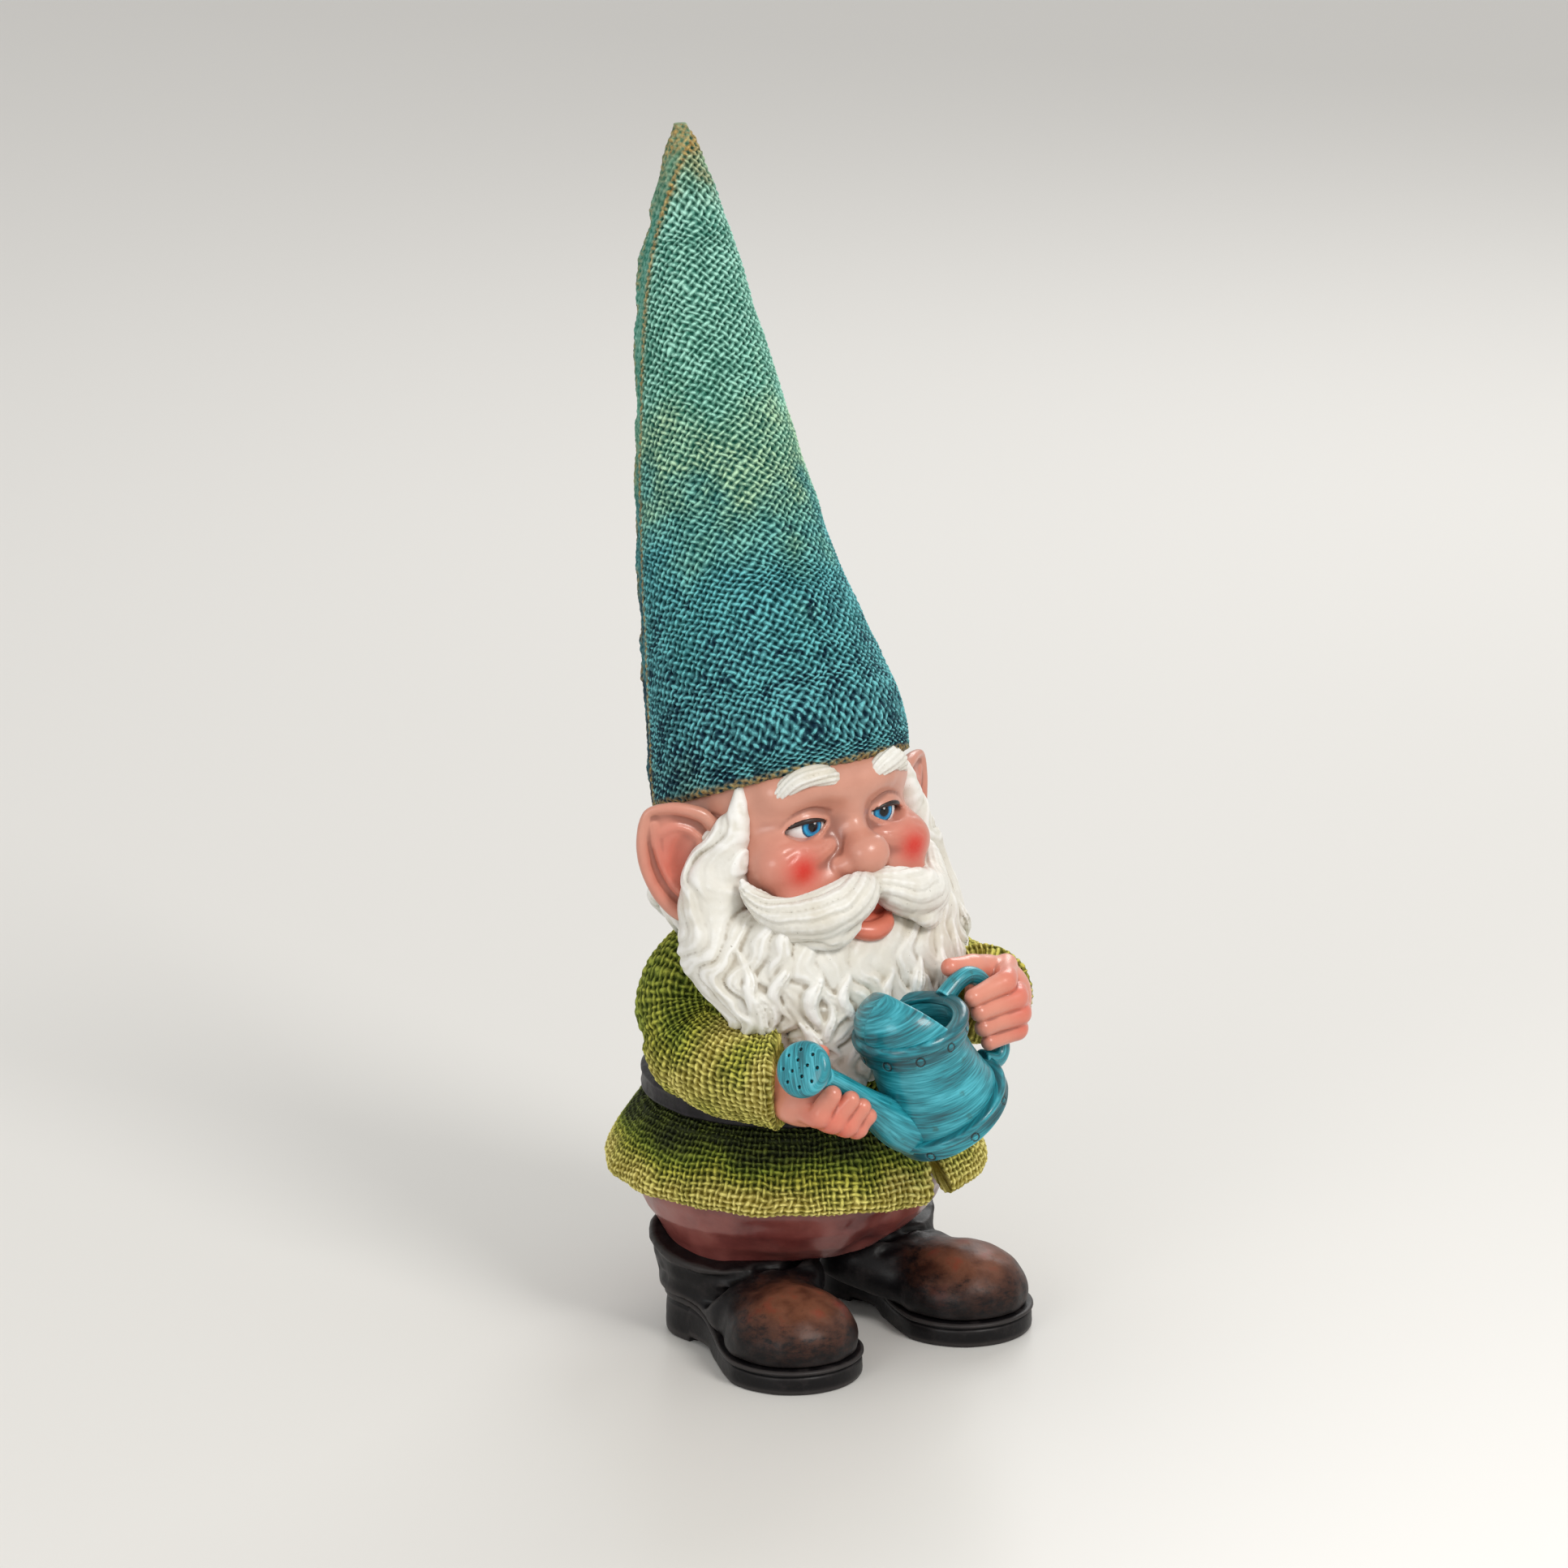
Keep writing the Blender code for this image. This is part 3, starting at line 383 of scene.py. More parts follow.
# ---- materials ----
class Finish:
    """A material under construction: small helpers that add nodes and return their output sockets."""

    def __init__(self, name, roughness=0.5, coat=0.0, specular=0.5, coat_roughness=0.1):
        self.material = bpy.data.materials.new(name)
        self.material.use_nodes = True
        self.tree = self.material.node_tree
        self.shader = self.tree.nodes["Principled BSDF"]
        self.shader.inputs["Roughness"].default_value = roughness
        self.shader.inputs["Coat Weight"].default_value = coat
        self.shader.inputs["Coat Roughness"].default_value = coat_roughness
        self.shader.inputs["Specular IOR Level"].default_value = specular
        self.place = self.tree.nodes.new("ShaderNodeTexCoord").outputs["Object"]

    def feed(self, socket, value):
        """Links an output socket to an input, or sets the input's value."""
        if isinstance(value, bpy.types.NodeSocket):
            self.tree.links.new(value, socket)
        else:
            socket.default_value = value

    def math(self, operation, a, b=0.0, clamp=False):
        """One arithmetic step on sockets or numbers."""
        node = self.tree.nodes.new("ShaderNodeMath")
        node.operation, node.use_clamp = operation, clamp
        self.feed(node.inputs[0], a)
        self.feed(node.inputs[1], b)
        return node.outputs[0]

    def plus(self, a, b, clamp=False):
        return self.math("ADD", a, b, clamp)

    def minus(self, a, b):
        return self.math("SUBTRACT", a, b)

    def times(self, a, b, clamp=False):
        return self.math("MULTIPLY", a, b, clamp)

    def mask(self, name):
        """A number that the mesh carries at each point."""
        node = self.tree.nodes.new("ShaderNodeAttribute")
        node.attribute_name = name
        return node.outputs["Fac"]

    def step(self, value, low, high):
        """0 below low, 1 above high."""
        node = self.tree.nodes.new("ShaderNodeMapRange")
        node.interpolation_type = "SMOOTHSTEP"
        self.feed(node.inputs["Value"], value)
        node.inputs["From Min"].default_value = low
        node.inputs["From Max"].default_value = high
        return node.outputs["Result"]

    def stretch(self, scale):
        """Positions scaled along the three axes."""
        node = self.tree.nodes.new("ShaderNodeMapping")
        node.inputs["Scale"].default_value = scale
        self.tree.links.new(self.place, node.inputs["Vector"])
        return node.outputs["Vector"]

    def speckle(self, size, detail=3.0, vector=None, roughness=0.5):
        """Noise from 0 to 1 with features about size millimetres across."""
        node = self.tree.nodes.new("ShaderNodeTexNoise")
        node.inputs["Scale"].default_value = 1 / (size * MM)
        node.inputs["Detail"].default_value = detail
        node.inputs["Roughness"].default_value = roughness
        self.tree.links.new(vector or self.place, node.inputs["Vector"])
        return node.outputs["Fac"]

    def grit(self, amount, size, detail=3.0, roughness=0.5):
        """Noise round 0, about amount from its lowest to its highest."""
        return self.times(self.minus(self.speckle(size, detail, roughness=roughness), 0.5), amount)

    def blend(self, factor, a, b):
        """Colour a where the factor is 0 and colour b where it is 1."""
        node = self.tree.nodes.new("ShaderNodeMix")
        node.data_type = "RGBA"
        self.feed(node.inputs["Factor"], factor)
        for socket, value in ((node.inputs[6], a), (node.inputs[7], b)):
            self.feed(socket, value if isinstance(value, bpy.types.NodeSocket) else (*value, 1))
        return node.outputs[2]

    def over(self, colour, value, low, high, strength, paint):
        """The colour with paint over it, at its strongest where the value has gone from low to high."""
        return self.blend(self.times(self.step(value, low, high), strength), colour, rgb(*paint))

    def ramp(self, value, stops):
        """A colour picked by a value from stops of (value, colour)."""
        node = self.tree.nodes.new("ShaderNodeValToRGB")
        self.feed(node.inputs[0], value)
        elements = node.color_ramp.elements
        for k, (at, colour) in enumerate(stops):
            element = elements[k] if k < 2 else elements.new(at)
            element.position, element.color = at, (*colour, 1)
        return node.outputs[0]

    def done(self, colour, bump=None, depth=0.3, roughness=None):
        """Joins the colour, a height for bump (depth in millimetres) and a roughness to the shader."""
        self.feed(self.shader.inputs["Base Color"], colour)
        if roughness is not None:
            self.feed(self.shader.inputs["Roughness"], roughness)
        if bump is not None:
            node = self.tree.nodes.new("ShaderNodeBump")
            node.inputs["Strength"].default_value = 1.0
            node.inputs["Distance"].default_value = depth * MM
            self.feed(node.inputs["Height"], bump)
            self.tree.links.new(node.outputs["Normal"], self.shader.inputs["Normal"])
        return self.material


def rgb(r, g, b):
    """A paint colour given as seen, from 0 to 255, in linear light."""
    return tuple(c / 255 / 12.92 if c < 10.3 else ((c / 255 + 0.055) / 1.055) ** 2.4 for c in (r, g, b))


# ---- burlap ----
def weave(warp, weft):
    """Height of a plain weave, from -0.5 to 1, at thread coordinates."""

    def thread(across, along, sign):
        middle = np.round(across)
        wave = sign * RISE * np.cos(math.pi * along) * np.cos(math.pi * middle)
        return wave + (1 - RISE) * (1 - NARROW * (across - middle) ** 2)

    return np.maximum(np.maximum(thread(warp, weft, 1), thread(weft, warp, -1)), -0.5)


def woven_nodes(f):
    """The same weave as shader nodes, from the warp and weft masks, with no floor to its height."""
    warp, weft = f.mask("warp"), f.mask("weft")

    def thread(across, along, sign):
        middle = f.math("ROUND", across)
        side = f.minus(across, middle)
        wave = f.times(f.math("COSINE", f.times(along, math.pi)), f.math("COSINE", f.times(middle, math.pi)))
        round_top = f.times(f.times(side, side), -NARROW * (1 - RISE))
        return f.plus(f.times(wave, RISE * sign), f.plus(round_top, 1 - RISE))

    return f.math("MAXIMUM", thread(warp, weft, 1), thread(weft, warp, -1))


def dry_brush(f, height, low, high, coarse):
    """Dark paint between the threads, half-tone on their flanks and light paint dragged over their tops."""
    level = f.plus(height, f.plus(f.grit(2.6, coarse, 5.0, 0.75), f.grit(1.0, coarse * 4)))
    flank = f.times(f.step(level, -0.45, 0.7), 0.38)
    crest = f.times(f.step(level, 0.5, 1.05), 0.64)
    return f.blend(f.plus(flank, crest), low, high), crest


def burlap(name, deep, ridge):
    """Painted burlap. deep and ridge are ramps over the zone mask."""
    f = Finish(name, roughness=0.62, specular=0.2)
    height = f.times(woven_nodes(f), f.minus(1.0, f.mask("crust")))
    zone = f.plus(f.mask("zone"), f.grit(0.5, 9.0), clamp=True)
    colour, crest = dry_brush(f, height, f.ramp(zone, deep), f.ramp(zone, ridge), 2.4)
    grain = f.plus(height, f.times(f.speckle(0.8, 4.0), 0.4))
    return f.done(colour, grain, 0.8, f.minus(0.72, f.times(crest, 0.3)))


HAT_DEEP = [(0.0, rgb(4, 46, 54)), (0.25, rgb(0, 50, 64)), (0.42, rgb(14, 86, 88)), (0.6, rgb(40, 114, 94)),
            (0.85, rgb(50, 126, 108)), (1.0, rgb(84, 118, 90))]
HAT_RIDGE = [(0.0, rgb(128, 176, 162)), (0.12, rgb(112, 194, 200)), (0.36, rgb(112, 200, 204)),
             (0.46, rgb(142, 210, 194)), (0.54, rgb(188, 228, 188)), (0.66, rgb(166, 228, 208)),
             (0.88, rgb(174, 230, 212)), (1.0, rgb(190, 212, 170))]
COAT_DEEP = [(0.0, rgb(16, 22, 6)), (0.35, rgb(54, 70, 12)), (0.7, rgb(70, 74, 10)), (1.0, rgb(138, 122, 34))]
COAT_RIDGE = [(0.0, rgb(74, 84, 36)), (0.3, rgb(150, 164, 62)), (0.6, rgb(204, 202, 84)),
              (1.0, rgb(236, 224, 134))]


def cloth(name, points, warp, weft, zone, finish, nodes, crust=0.0, height=0.8, tan=None):
    """A grid of points as thick burlap, with real threads on its surface. Crust hides the threads."""
    crust = crust + np.zeros(points.shape[:2])
    warp = warp + 0.5 * noise(points, 11, 3) + 0.3 * noise(points, 3.6, 8)
    weft = weft + 0.5 * noise(points, 13, 4) + 0.3 * noise(points, 4.1, 9)
    threads = (weave(warp, weft) - 0.45) * height * (1 - 0.7 * crust)
    lumps = 0.3 * noise(points, 8, 1) + 0.16 * noise(points, 2.2, 2) * (1 + crust)
    points, extra = closed_ends(raised(points, threads + lumps))
    masks = {"warp": warp, "weft": weft, "zone": zone + 0 * warp, "crust": crust}
    if tan is not None:
        masks["tan"] = tan
    masks = {key: np.pad(value, ((extra, extra), (0, 0)), mode="edge") for key, value in masks.items()}
    masks["crust"][:extra - 1] = masks["crust"][1 - extra:] = 1
    piece(name, points.reshape(-1, 3), grid_quads(points), finish, nodes, masks)


def count(length, step=0.56):
    """How many grid steps a length needs."""
    return int(length / fine(step))


# ---- hat ----
# The hat's middle line and radius, from the brim to the tip.
HAT_PATH = [(0, 4.8, 188.5, 44.8), (0, 8.4, 204, 44.4), (0, 14.4, 219, 41.2), (0, 21.2, 236, 37.8),
            (0, 28.2, 253, 34.4), (0, 33.8, 270, 31.5), (0, 41.4, 295, 27.6), (0, 47.8, 320, 23.7),
            (0, 53.3, 344, 19.3), (0, 57.2, 367, 14.6), (0, 58.8, 386, 9.2), (0, 60.2, 399, 4.7),
            (0, 60.7, 406.2, 1.6)]
# Creases pressed into the hat: start and end as (arc from FACING, height), and depth.
HAT_CREASES = (((-31, 238), (14, 207), 0.9), ((-8, 226), (36, 205), 0.6), ((2, 262), (34, 243), 0.5),
               ((-40, 216), (-16, 199), 0.6), ((-26, 258), (2, 236), 0.7), ((10, 222), (44, 210), 0.6),
               ((-44, 243), (-24, 222), 0.7))
BRIM_LEAN = math.radians(22)
FACING = math.radians(-127)       # where distances round the hat are measured from
SEAM = math.radians(-217)         # where the hat's cloth is joined
WARP_SLOPE, WEFT_SLOPE = math.radians(-44), math.radians(-31)     # the cloth is pulled askew


def make_hat():
    """The hat: rows climb from the brim to the tip, columns run round from the seam."""
    path = spline(HAT_PATH, count(226))
    columns = count(TAU * HAT_PATH[0][3]) // 2 * 2
    along = unit(np.gradient(path[:, :3], axis=0))
    way = distances(path[:, :3])
    lean = np.arctan2(along[:, 1], along[:, 2])
    lean = lean + (BRIM_LEAN - lean) * (1 - smooth(0, 20, way))
    angle = SEAM + turns(columns)
    depth = np.stack([0 * lean, np.cos(lean), -np.sin(lean)], axis=1)
    out = np.cos(angle)[None, :, None] * np.array((1.0, 0, 0)) + np.sin(angle)[None, :, None] * depth[:, None]
    arc = path[:, 3:] * (angle - FACING)[None, :]
    from_seam = path[:, 3:] * np.minimum(angle - SEAM, SEAM + TAU - angle)[None, :]
    radius = path[:, 3:] - 2.2 * (1 - smooth(0, 1.8, way))[:, None] + 0 * angle[None, :]
    points = path[:, None, :3] + radius[..., None] * out
    hills = noise(points, 6, 11)
    seam_ridge = 1.3 * np.exp(-((from_seam / 3.2) ** 2)) * (0.5 + 0.9 * hills)
    radius = radius + seam_ridge * smooth(2, 20, way)[:, None]
    radius = radius + 0.5 * noise(points, 22, 12)
    for a, b, deep in HAT_CREASES:
        a, b = np.array(a, float), np.array(b, float)
        spot = np.stack([arc, points[..., 2]], axis=-1) - a
        t = np.clip(spot @ (b - a) / np.dot(b - a, b - a), 0, 1)
        away = np.linalg.norm(spot - t[..., None] * (b - a), axis=-1)
        fade = np.sin(math.pi * np.clip(t, 0.03, 0.97)) ** 0.5
        radius = radius - deep * np.exp(-((away / 1.7) ** 2)) * fade
        radius = radius + 0.4 * deep * np.exp(-(((away - 4) / 2.5) ** 2)) * np.sin(math.pi * t)
    points = path[:, None, :3] + radius[..., None] * out
    to_tip = (way[-1] - way + 6)[:, None]
    swing = arc / to_tip
    flat = np.stack([to_tip * np.sin(swing), -to_tip * np.cos(swing)], axis=-1)
    warp = flat @ np.array((math.cos(WARP_SLOPE), math.sin(WARP_SLOPE))) / THREAD
    weft = flat @ np.array((-math.sin(WEFT_SLOPE), math.cos(WEFT_SLOPE))) / THREAD
    crust = 0.8 * (1 - smooth(7, 10.5, from_seam)) + 0.8 * (1 - smooth(0.5, 4.5, way[:, None] + 1.2 * hills))
    zone = np.clip((points[..., 2] - 172) / 235, 0, 1)
    tan = (1 - smooth(1.0, 3.6, way[:, None] + 1.5 * hills)) + 0.9 * np.exp(-(((from_seam - 9.5) / 1.4) ** 2))
    tan = tan + 0.8 * (1 - smooth(1.5, 5, from_seam)) * smooth(-0.1, 0.5, noise(points, 4, 13))
    tan = tan + smooth(0.86, 1.0, zone) * smooth(-0.4, 0.4, noise(points, 5, 14))
    cloth("hat_cloth", points, warp, weft, zone, hat_finish(), ("hat",), np.clip(crust, 0, 1), 0.85,
          np.clip(tan, 0, 1))


def hat_finish():
    """Teal burlap with navy showing through, greener towards the tip, and tan where the tan mask is high."""
    f = Finish("hat_paint", roughness=0.6, specular=0.2)
    height = woven_nodes(f)
    height = f.times(height, f.minus(1.0, f.times(f.mask("crust"), 0.8)))
    grit = f.speckle(0.8, 4.0)
    zone = f.plus(f.mask("zone"), f.grit(0.3, 16.0, 2.0), clamp=True)
    colour, drag = dry_brush(f, height, f.ramp(zone, HAT_DEEP), f.ramp(zone, HAT_RIDGE), 2.4)
    navy = f.step(f.plus(f.speckle(7.0, 5.0), f.times(f.mask("zone"), -0.6)), 0.34, 0.5)
    navy = f.times(navy, f.minus(0.85, f.times(drag, 1.2)), clamp=True)
    colour = f.blend(navy, colour, rgb(6, 40, 60))
    tan = f.times(f.mask("tan"), f.step(f.plus(height, f.speckle(1.6, 4.0)), 0.3, 1.0))
    earth = f.ramp(f.speckle(1.2, 3.0), [(0.3, rgb(120, 92, 52)), (0.7, rgb(196, 170, 104))])
    return f.done(f.blend(tan, colour, earth), f.plus(height, f.times(grit, 0.4)), 0.8,
                  f.minus(0.68, f.times(drag, 0.3)))


# ---- jacket ----
TORSO_THREADS, SLEEVE_THREADS, SKIRT_THREADS = 140, 46, 170    # threads side by side round each part


def make_torso(finish):
    """The jacket above the belt, mostly hidden by the beard in front."""
    rings = spline([(0, 0, 91.1, 49, 46.5), (0, -1, 98, 50, 48), (0, -1, 108, 49, 46.5), (0, 0, 120, 47, 43),
                    (0, 1, 130, 42, 38), (0, 2, 138, 34, 31), (0, 2, 143, 27, 26)], count(62))
    columns = count(TAU * 50)
    angle = turns(columns)
    circle = np.stack([np.cos(angle), np.sin(angle), 0 * angle], axis=1)
    radii = np.concatenate([rings[:, 3:5], 0 * rings[:, :1]], axis=1)
    points = rings[:, None, :3] + circle[None] * radii[:, None]
    way = distances(points[:, 0])
    warp = np.broadcast_to(angle / TAU * TORSO_THREADS, points.shape[:2])
    weft = way[:, None] / THREAD + 0 * warp
    cloth("jacket_back_and_chest", points, warp, weft, 0.4, finish, ("jacket_torso",))


ARMS = {    # for each arm: its side, and its (x, y, z, radius) rows from the shoulder to the cuff
    "right": (-1, [(26, 10, 131, 13.0), (30, 9, 129, 14.7), (37, 7, 122, 16.5), (41.5, 3, 112.5, 17.5),
                   (43, -6, 104.5, 17.5), (43, -20, 101.5, 16.5), (41.3, -35, 102, 15.8),
                   (38.7, -46, 103.3, 15.4)]),
    "left": (1, [(26, 10, 131, 13.0), (30, 9, 129, 14.7), (38, 6, 123, 16), (48, -1, 117, 16.5),
                 (54.5, -13, 112, 17), (55, -27, 110.5, 16.8), (51, -39, 113.5, 16.4),
                 (46.4, -47.2, 117.2, 16.2)]),
}
CUFF_TURN = np.array((-0.74, 0.0, 0.0))    # the right cuff's outer side reaches further ahead
# Folds across a sleeve: place along it, width and depth, and lean.
SLEEVE_FOLDS = ((0.30, 0.030, 1.5, 0.05), (0.42, 0.026, 1.8, -0.06), (0.52, 0.03, 1.3, 0.04),
                (0.80, 0.03, 0.7, 0.05))


def make_sleeve(name, finish):
    """A sleeve: rows run from the shoulder to the cuff, columns round the arm."""
    side, path = ARMS[name]
    path = spline(mirror(side, path), count(100))
    points, angle, way = tube(path, count(TAU * 17))
    share = (way / way[-1])[:, None]
    if side < 0:
        end = points[-1].mean(axis=0)
        ahead = (points[-1] - end) @ CUFF_TURN
        push = ahead[None, :, None] * np.array((-0.04, -0.99, 0))
        points = points + smooth(0.55, 1.0, share)[..., None] * push
    inner = np.cos(angle)[None, :]
    folds = 0
    for at, size, deep, lean in SLEEVE_FOLDS:
        fold = deep * np.exp(-(((share - at - lean * inner) / size) ** 2))
        folds = folds - fold * (0.55 + 0.45 * noise(points, 9, 21))
    folds = folds + 0.9 * smooth(0.93, 0.985, share) - 1.6 * smooth(0.985, 1.0, share)
    points = raised(points, folds + 0.6 * noise(points, 18, 22))
    warp = np.broadcast_to(angle / TAU * SLEEVE_THREADS, points.shape[:2])
    weft = way[:, None] / THREAD + 0 * warp
    zone = 0.48 + 0.34 * smooth(0.3, 0.7, share) + 0.3 * noise(points, 14, 23)
    cloth(name + "_sleeve_cloth", points, warp, weft, zone, finish, (name + "_sleeve",))


# The section of the skirt's cloth, as radius and height.
SKIRT_PROFILE = [(46.2, 81.2), (48.4, 81.3), (54, 76.5), (60, 68.5), (64.3, 61), (64.6, 57.6), (63.2, 55.6),
                 (61, 55.2), (58.6, 56.8), (56.4, 62), (54.4, 68), (52.7, 77.8), (46.6, 79.2)]
SKIRT_R = 62                                              # radius that its length round the body is taken at
SPLIT_AT, FLAP_AT = math.radians(17), math.radians(42)    # where the skirt parts, and where its flap flares
# Folds down the skirt: angle, lean, width and depth.
SKIRT_FOLDS = ((5.62, 0.012, 0.09, 3.0), (5.05, -0.008, 0.10, 2.0), (4.45, 0.006, 0.12, 2.4),
               (3.6, 0.004, 0.1, 2.2), (2.8, -0.006, 0.12, 2.4), (1.9, 0.006, 0.1, 2.2),
               (6.1, -0.01, 0.08, 1.6))


def make_skirt(finish):
    """The jacket below the belt, parted in front: rows round the body, columns round the cloth's section."""
    loop = np.array(SKIRT_PROFILE + SKIRT_PROFILE[:1], float)
    section = spline(np.c_[loop[:, 0], 0 * loop[:, 0], loop[:, 1]], count(76))[:-1]
    way = distances(section)
    radius, height = section[:, 0][None, :], section[:, 2][None, :]
    rows = count(TAU * SKIRT_R)
    gap = (0.3 + 8.2 * np.clip((73 - height) / 23, 0, 1.2)) / radius
    share = np.linspace(0, 1, rows)[:, None]
    angle = SPLIT_AT + gap + share * (TAU - 2 * gap)
    low = np.clip((78 - height) / 20, 0, 1)
    turn = (angle + math.pi) % TAU - math.pi
    flare = 4.5 * np.exp(-(((turn - FLAP_AT) / 0.42) ** 2)) * low
    ripple = (0.9 * np.sin(7 * angle + 0.6) + 0.7 * np.sin(11 * angle)) * low
    for at, lean, wide, deep in SKIRT_FOLDS:
        away = (angle - at - lean * (height - 66)) / wide
        fold = deep * (np.exp(-(away**2)) - 0.7 * np.exp(-((away - 1.4) ** 2)))
        ripple = ripple + fold * (0.35 + 0.65 * low)
    dip = 3.5 * np.exp(-(((turn - SPLIT_AT) / 0.6) ** 2)) * low
    out = radius + flare + 0.6 * ripple
    points = np.stack([out * np.sin(angle), -0.95 * out * np.cos(angle), height - dip + 0 * angle], axis=-1)
    warp = angle / TAU * SKIRT_THREADS
    weft = np.broadcast_to(way / THREAD, warp.shape)
    edge = np.minimum(share, 1 - share) * TAU * SKIRT_R
    zone = 1.1 * smooth(79, 58, height) - 0.06 + 0.25 * smooth(6, 0, edge) + 0.25 * noise(points, 12, 24)
    zone = np.clip(zone, 0, 1)
    inside = smooth(0.70, 0.78, way / way[-1])[None, :] + 0 * angle
    cloth("jacket_skirt_cloth", points, warp, weft, zone * (1 - inside), finish, ("jacket_skirt",),
          0.5 * inside)


# ---- sculpted skin ----
def skin_finish(name, base, blush, wash):
    """Semi-gloss flesh paint: redder where the blush mask is high, a brown wash in the creases."""
    f = Finish(name, roughness=0.36, coat=0.2, specular=0.5, coat_roughness=0.14)
    lighter = [min(c + 10, 255) for c in base]
    colour = f.ramp(f.speckle(7.0, 4.0), [(0.25, rgb(*base)), (0.75, rgb(*lighter))])
    dust = f.grit(0.25, 1.0, 4.0)
    glow = f.plus(f.mask("blush"), f.times(dust, f.mask("blush")), clamp=True)
    colour = f.blend(glow, colour, rgb(*blush))
    colour = f.over(colour, f.mask("relief"), -0.12, -0.9, 0.6, wash)
    gloss = f.plus(0.24, f.times(f.speckle(5.0, 3.0), 0.16))
    return f.done(colour, f.speckle(0.7, 3.0), 0.035, gloss)


def sculpted(name, clay, finish, nodes, lumps=0.0, blush=None, place=None, rounds=14, extra=None):
    """Turns clay into a piece, with its relief as a mask. place moves its points onto the figure. blush and
    extra work out further masks before that."""
    verts, quads = clay.skin()
    verts = relax(verts, quads, 1) * 0.6 + verts * 0.4
    if lumps:
        verts = verts + normals(verts, quads) * (lumps * noise(verts, 5, 31))[:, None]
    masks = {"relief": relax(relief(verts, quads, rounds), quads, 1) / 0.35}
    if blush is not None:
        masks["blush"] = np.clip(blush(verts), 0, 1)
    for key, measure in (extra or {}).items():
        masks[key] = measure(verts)
    if place is not None:
        verts = place(verts)
    piece(name, verts, quads, finish, nodes, masks)


def near(verts, centre, size):
    """1 at a centre, fading out over about size millimetres."""
    return np.exp(-(((verts - np.array(centre)) / size) ** 2).sum(axis=1))


# Places on the left side of the face, with the right side mirrored.
EYE, EYE_R = (14.9, -24.2, 183.6), 8.7        # centre and radius of the eyeball
EYE_HALF, EYE_UP, EYE_DOWN = 8.2, 2.9, 3.2    # half the opening's width, and its height above and below
EYE_TILT = math.radians(7)                    # how far the outer corner is turned down
EYE_TURN = math.radians(19)                   # how far an eye's opening faces outwards
LID = 0.7                                     # thickness of the eyelids
EYE_CREASES = (([(26, 184.4, 0.2), (21.8, 188.6, 0.4), (15.4, 190.4, 0.45), (8.6, 188.6, 0.2)], 16),
               ([(22.5, 178.2, 0.1), (17, 176.6, 0.3), (10.5, 178.0, 0.1)], 12))    # as x, height and radius
CHEEK = (23.4, -37.5, 171.6)                  # middle of the cheek's blush
EAR_ROOT, EAR_OUT = (40.0, -9.0), (0.83, 0.555)    # x and y where the ear starts, and its direction
EAR_RIM = [(-1, 183, 2.2), (3, 187.2, 2.2), (10, 189.4, 1.9), (17, 189.6, 1.5), (21.4, 188.2, 1.3),
           (23.2, 183.5, 1.5), (23.6, 177, 1.7), (22.2, 168.5, 1.8), (18, 159.5, 2.0), (12.4, 153.4, 2.2),
           (7, 151.8, 2.4), (2.5, 155, 2.6)]    # distance out along the ear, height and radius
# Folds inside the ear: rows like the rim's, how far they stand ahead, their blend and their count.
EAR_FOLDS = (([(19.3, 184, 0.2), (18.6, 176, 0.4), (15.5, 167, 0.5), (11, 160.5, 0.5), (7.5, 159, 0.3)],
              0.9, 2.2, 24),
             ([(17, 181, 0.2), (12.5, 182.8, 0.5), (8, 182, 0.6), (4, 179, 0.5)], 0.8, 2.0, 20))


def lid_point(side, t, arc, lift):
    """A point on an eyelid's edge: t from -1 at the inner corner to 1, arc is the height of its middle."""
    radius = (EYE_HALF**2 + arc**2) / (2 * abs(arc))
    rise = math.sqrt(radius**2 - (EYE_HALF * t) ** 2) - radius + abs(arc)
    out, up = EYE_HALF * t, math.copysign(rise, arc) - EYE_HALF * t * math.tan(EYE_TILT)
    ahead = math.sqrt(max((EYE_R + lift) ** 2 - out**2 - up**2, 4.0))
    c, s = math.cos(EYE_TURN), math.sin(EYE_TURN)
    return side * (EYE[0] + out * c + ahead * s), EYE[1] + out * s - ahead * c, EYE[2] + up


def ear_point(side, out, ahead, z):
    """A place on an ear, from how far it is out along the ear, ahead of it, and up."""
    return (side * (EAR_ROOT[0] + EAR_OUT[0] * out + EAR_OUT[1] * ahead),
            EAR_ROOT[1] + EAR_OUT[1] * out - EAR_OUT[0] * ahead, z)


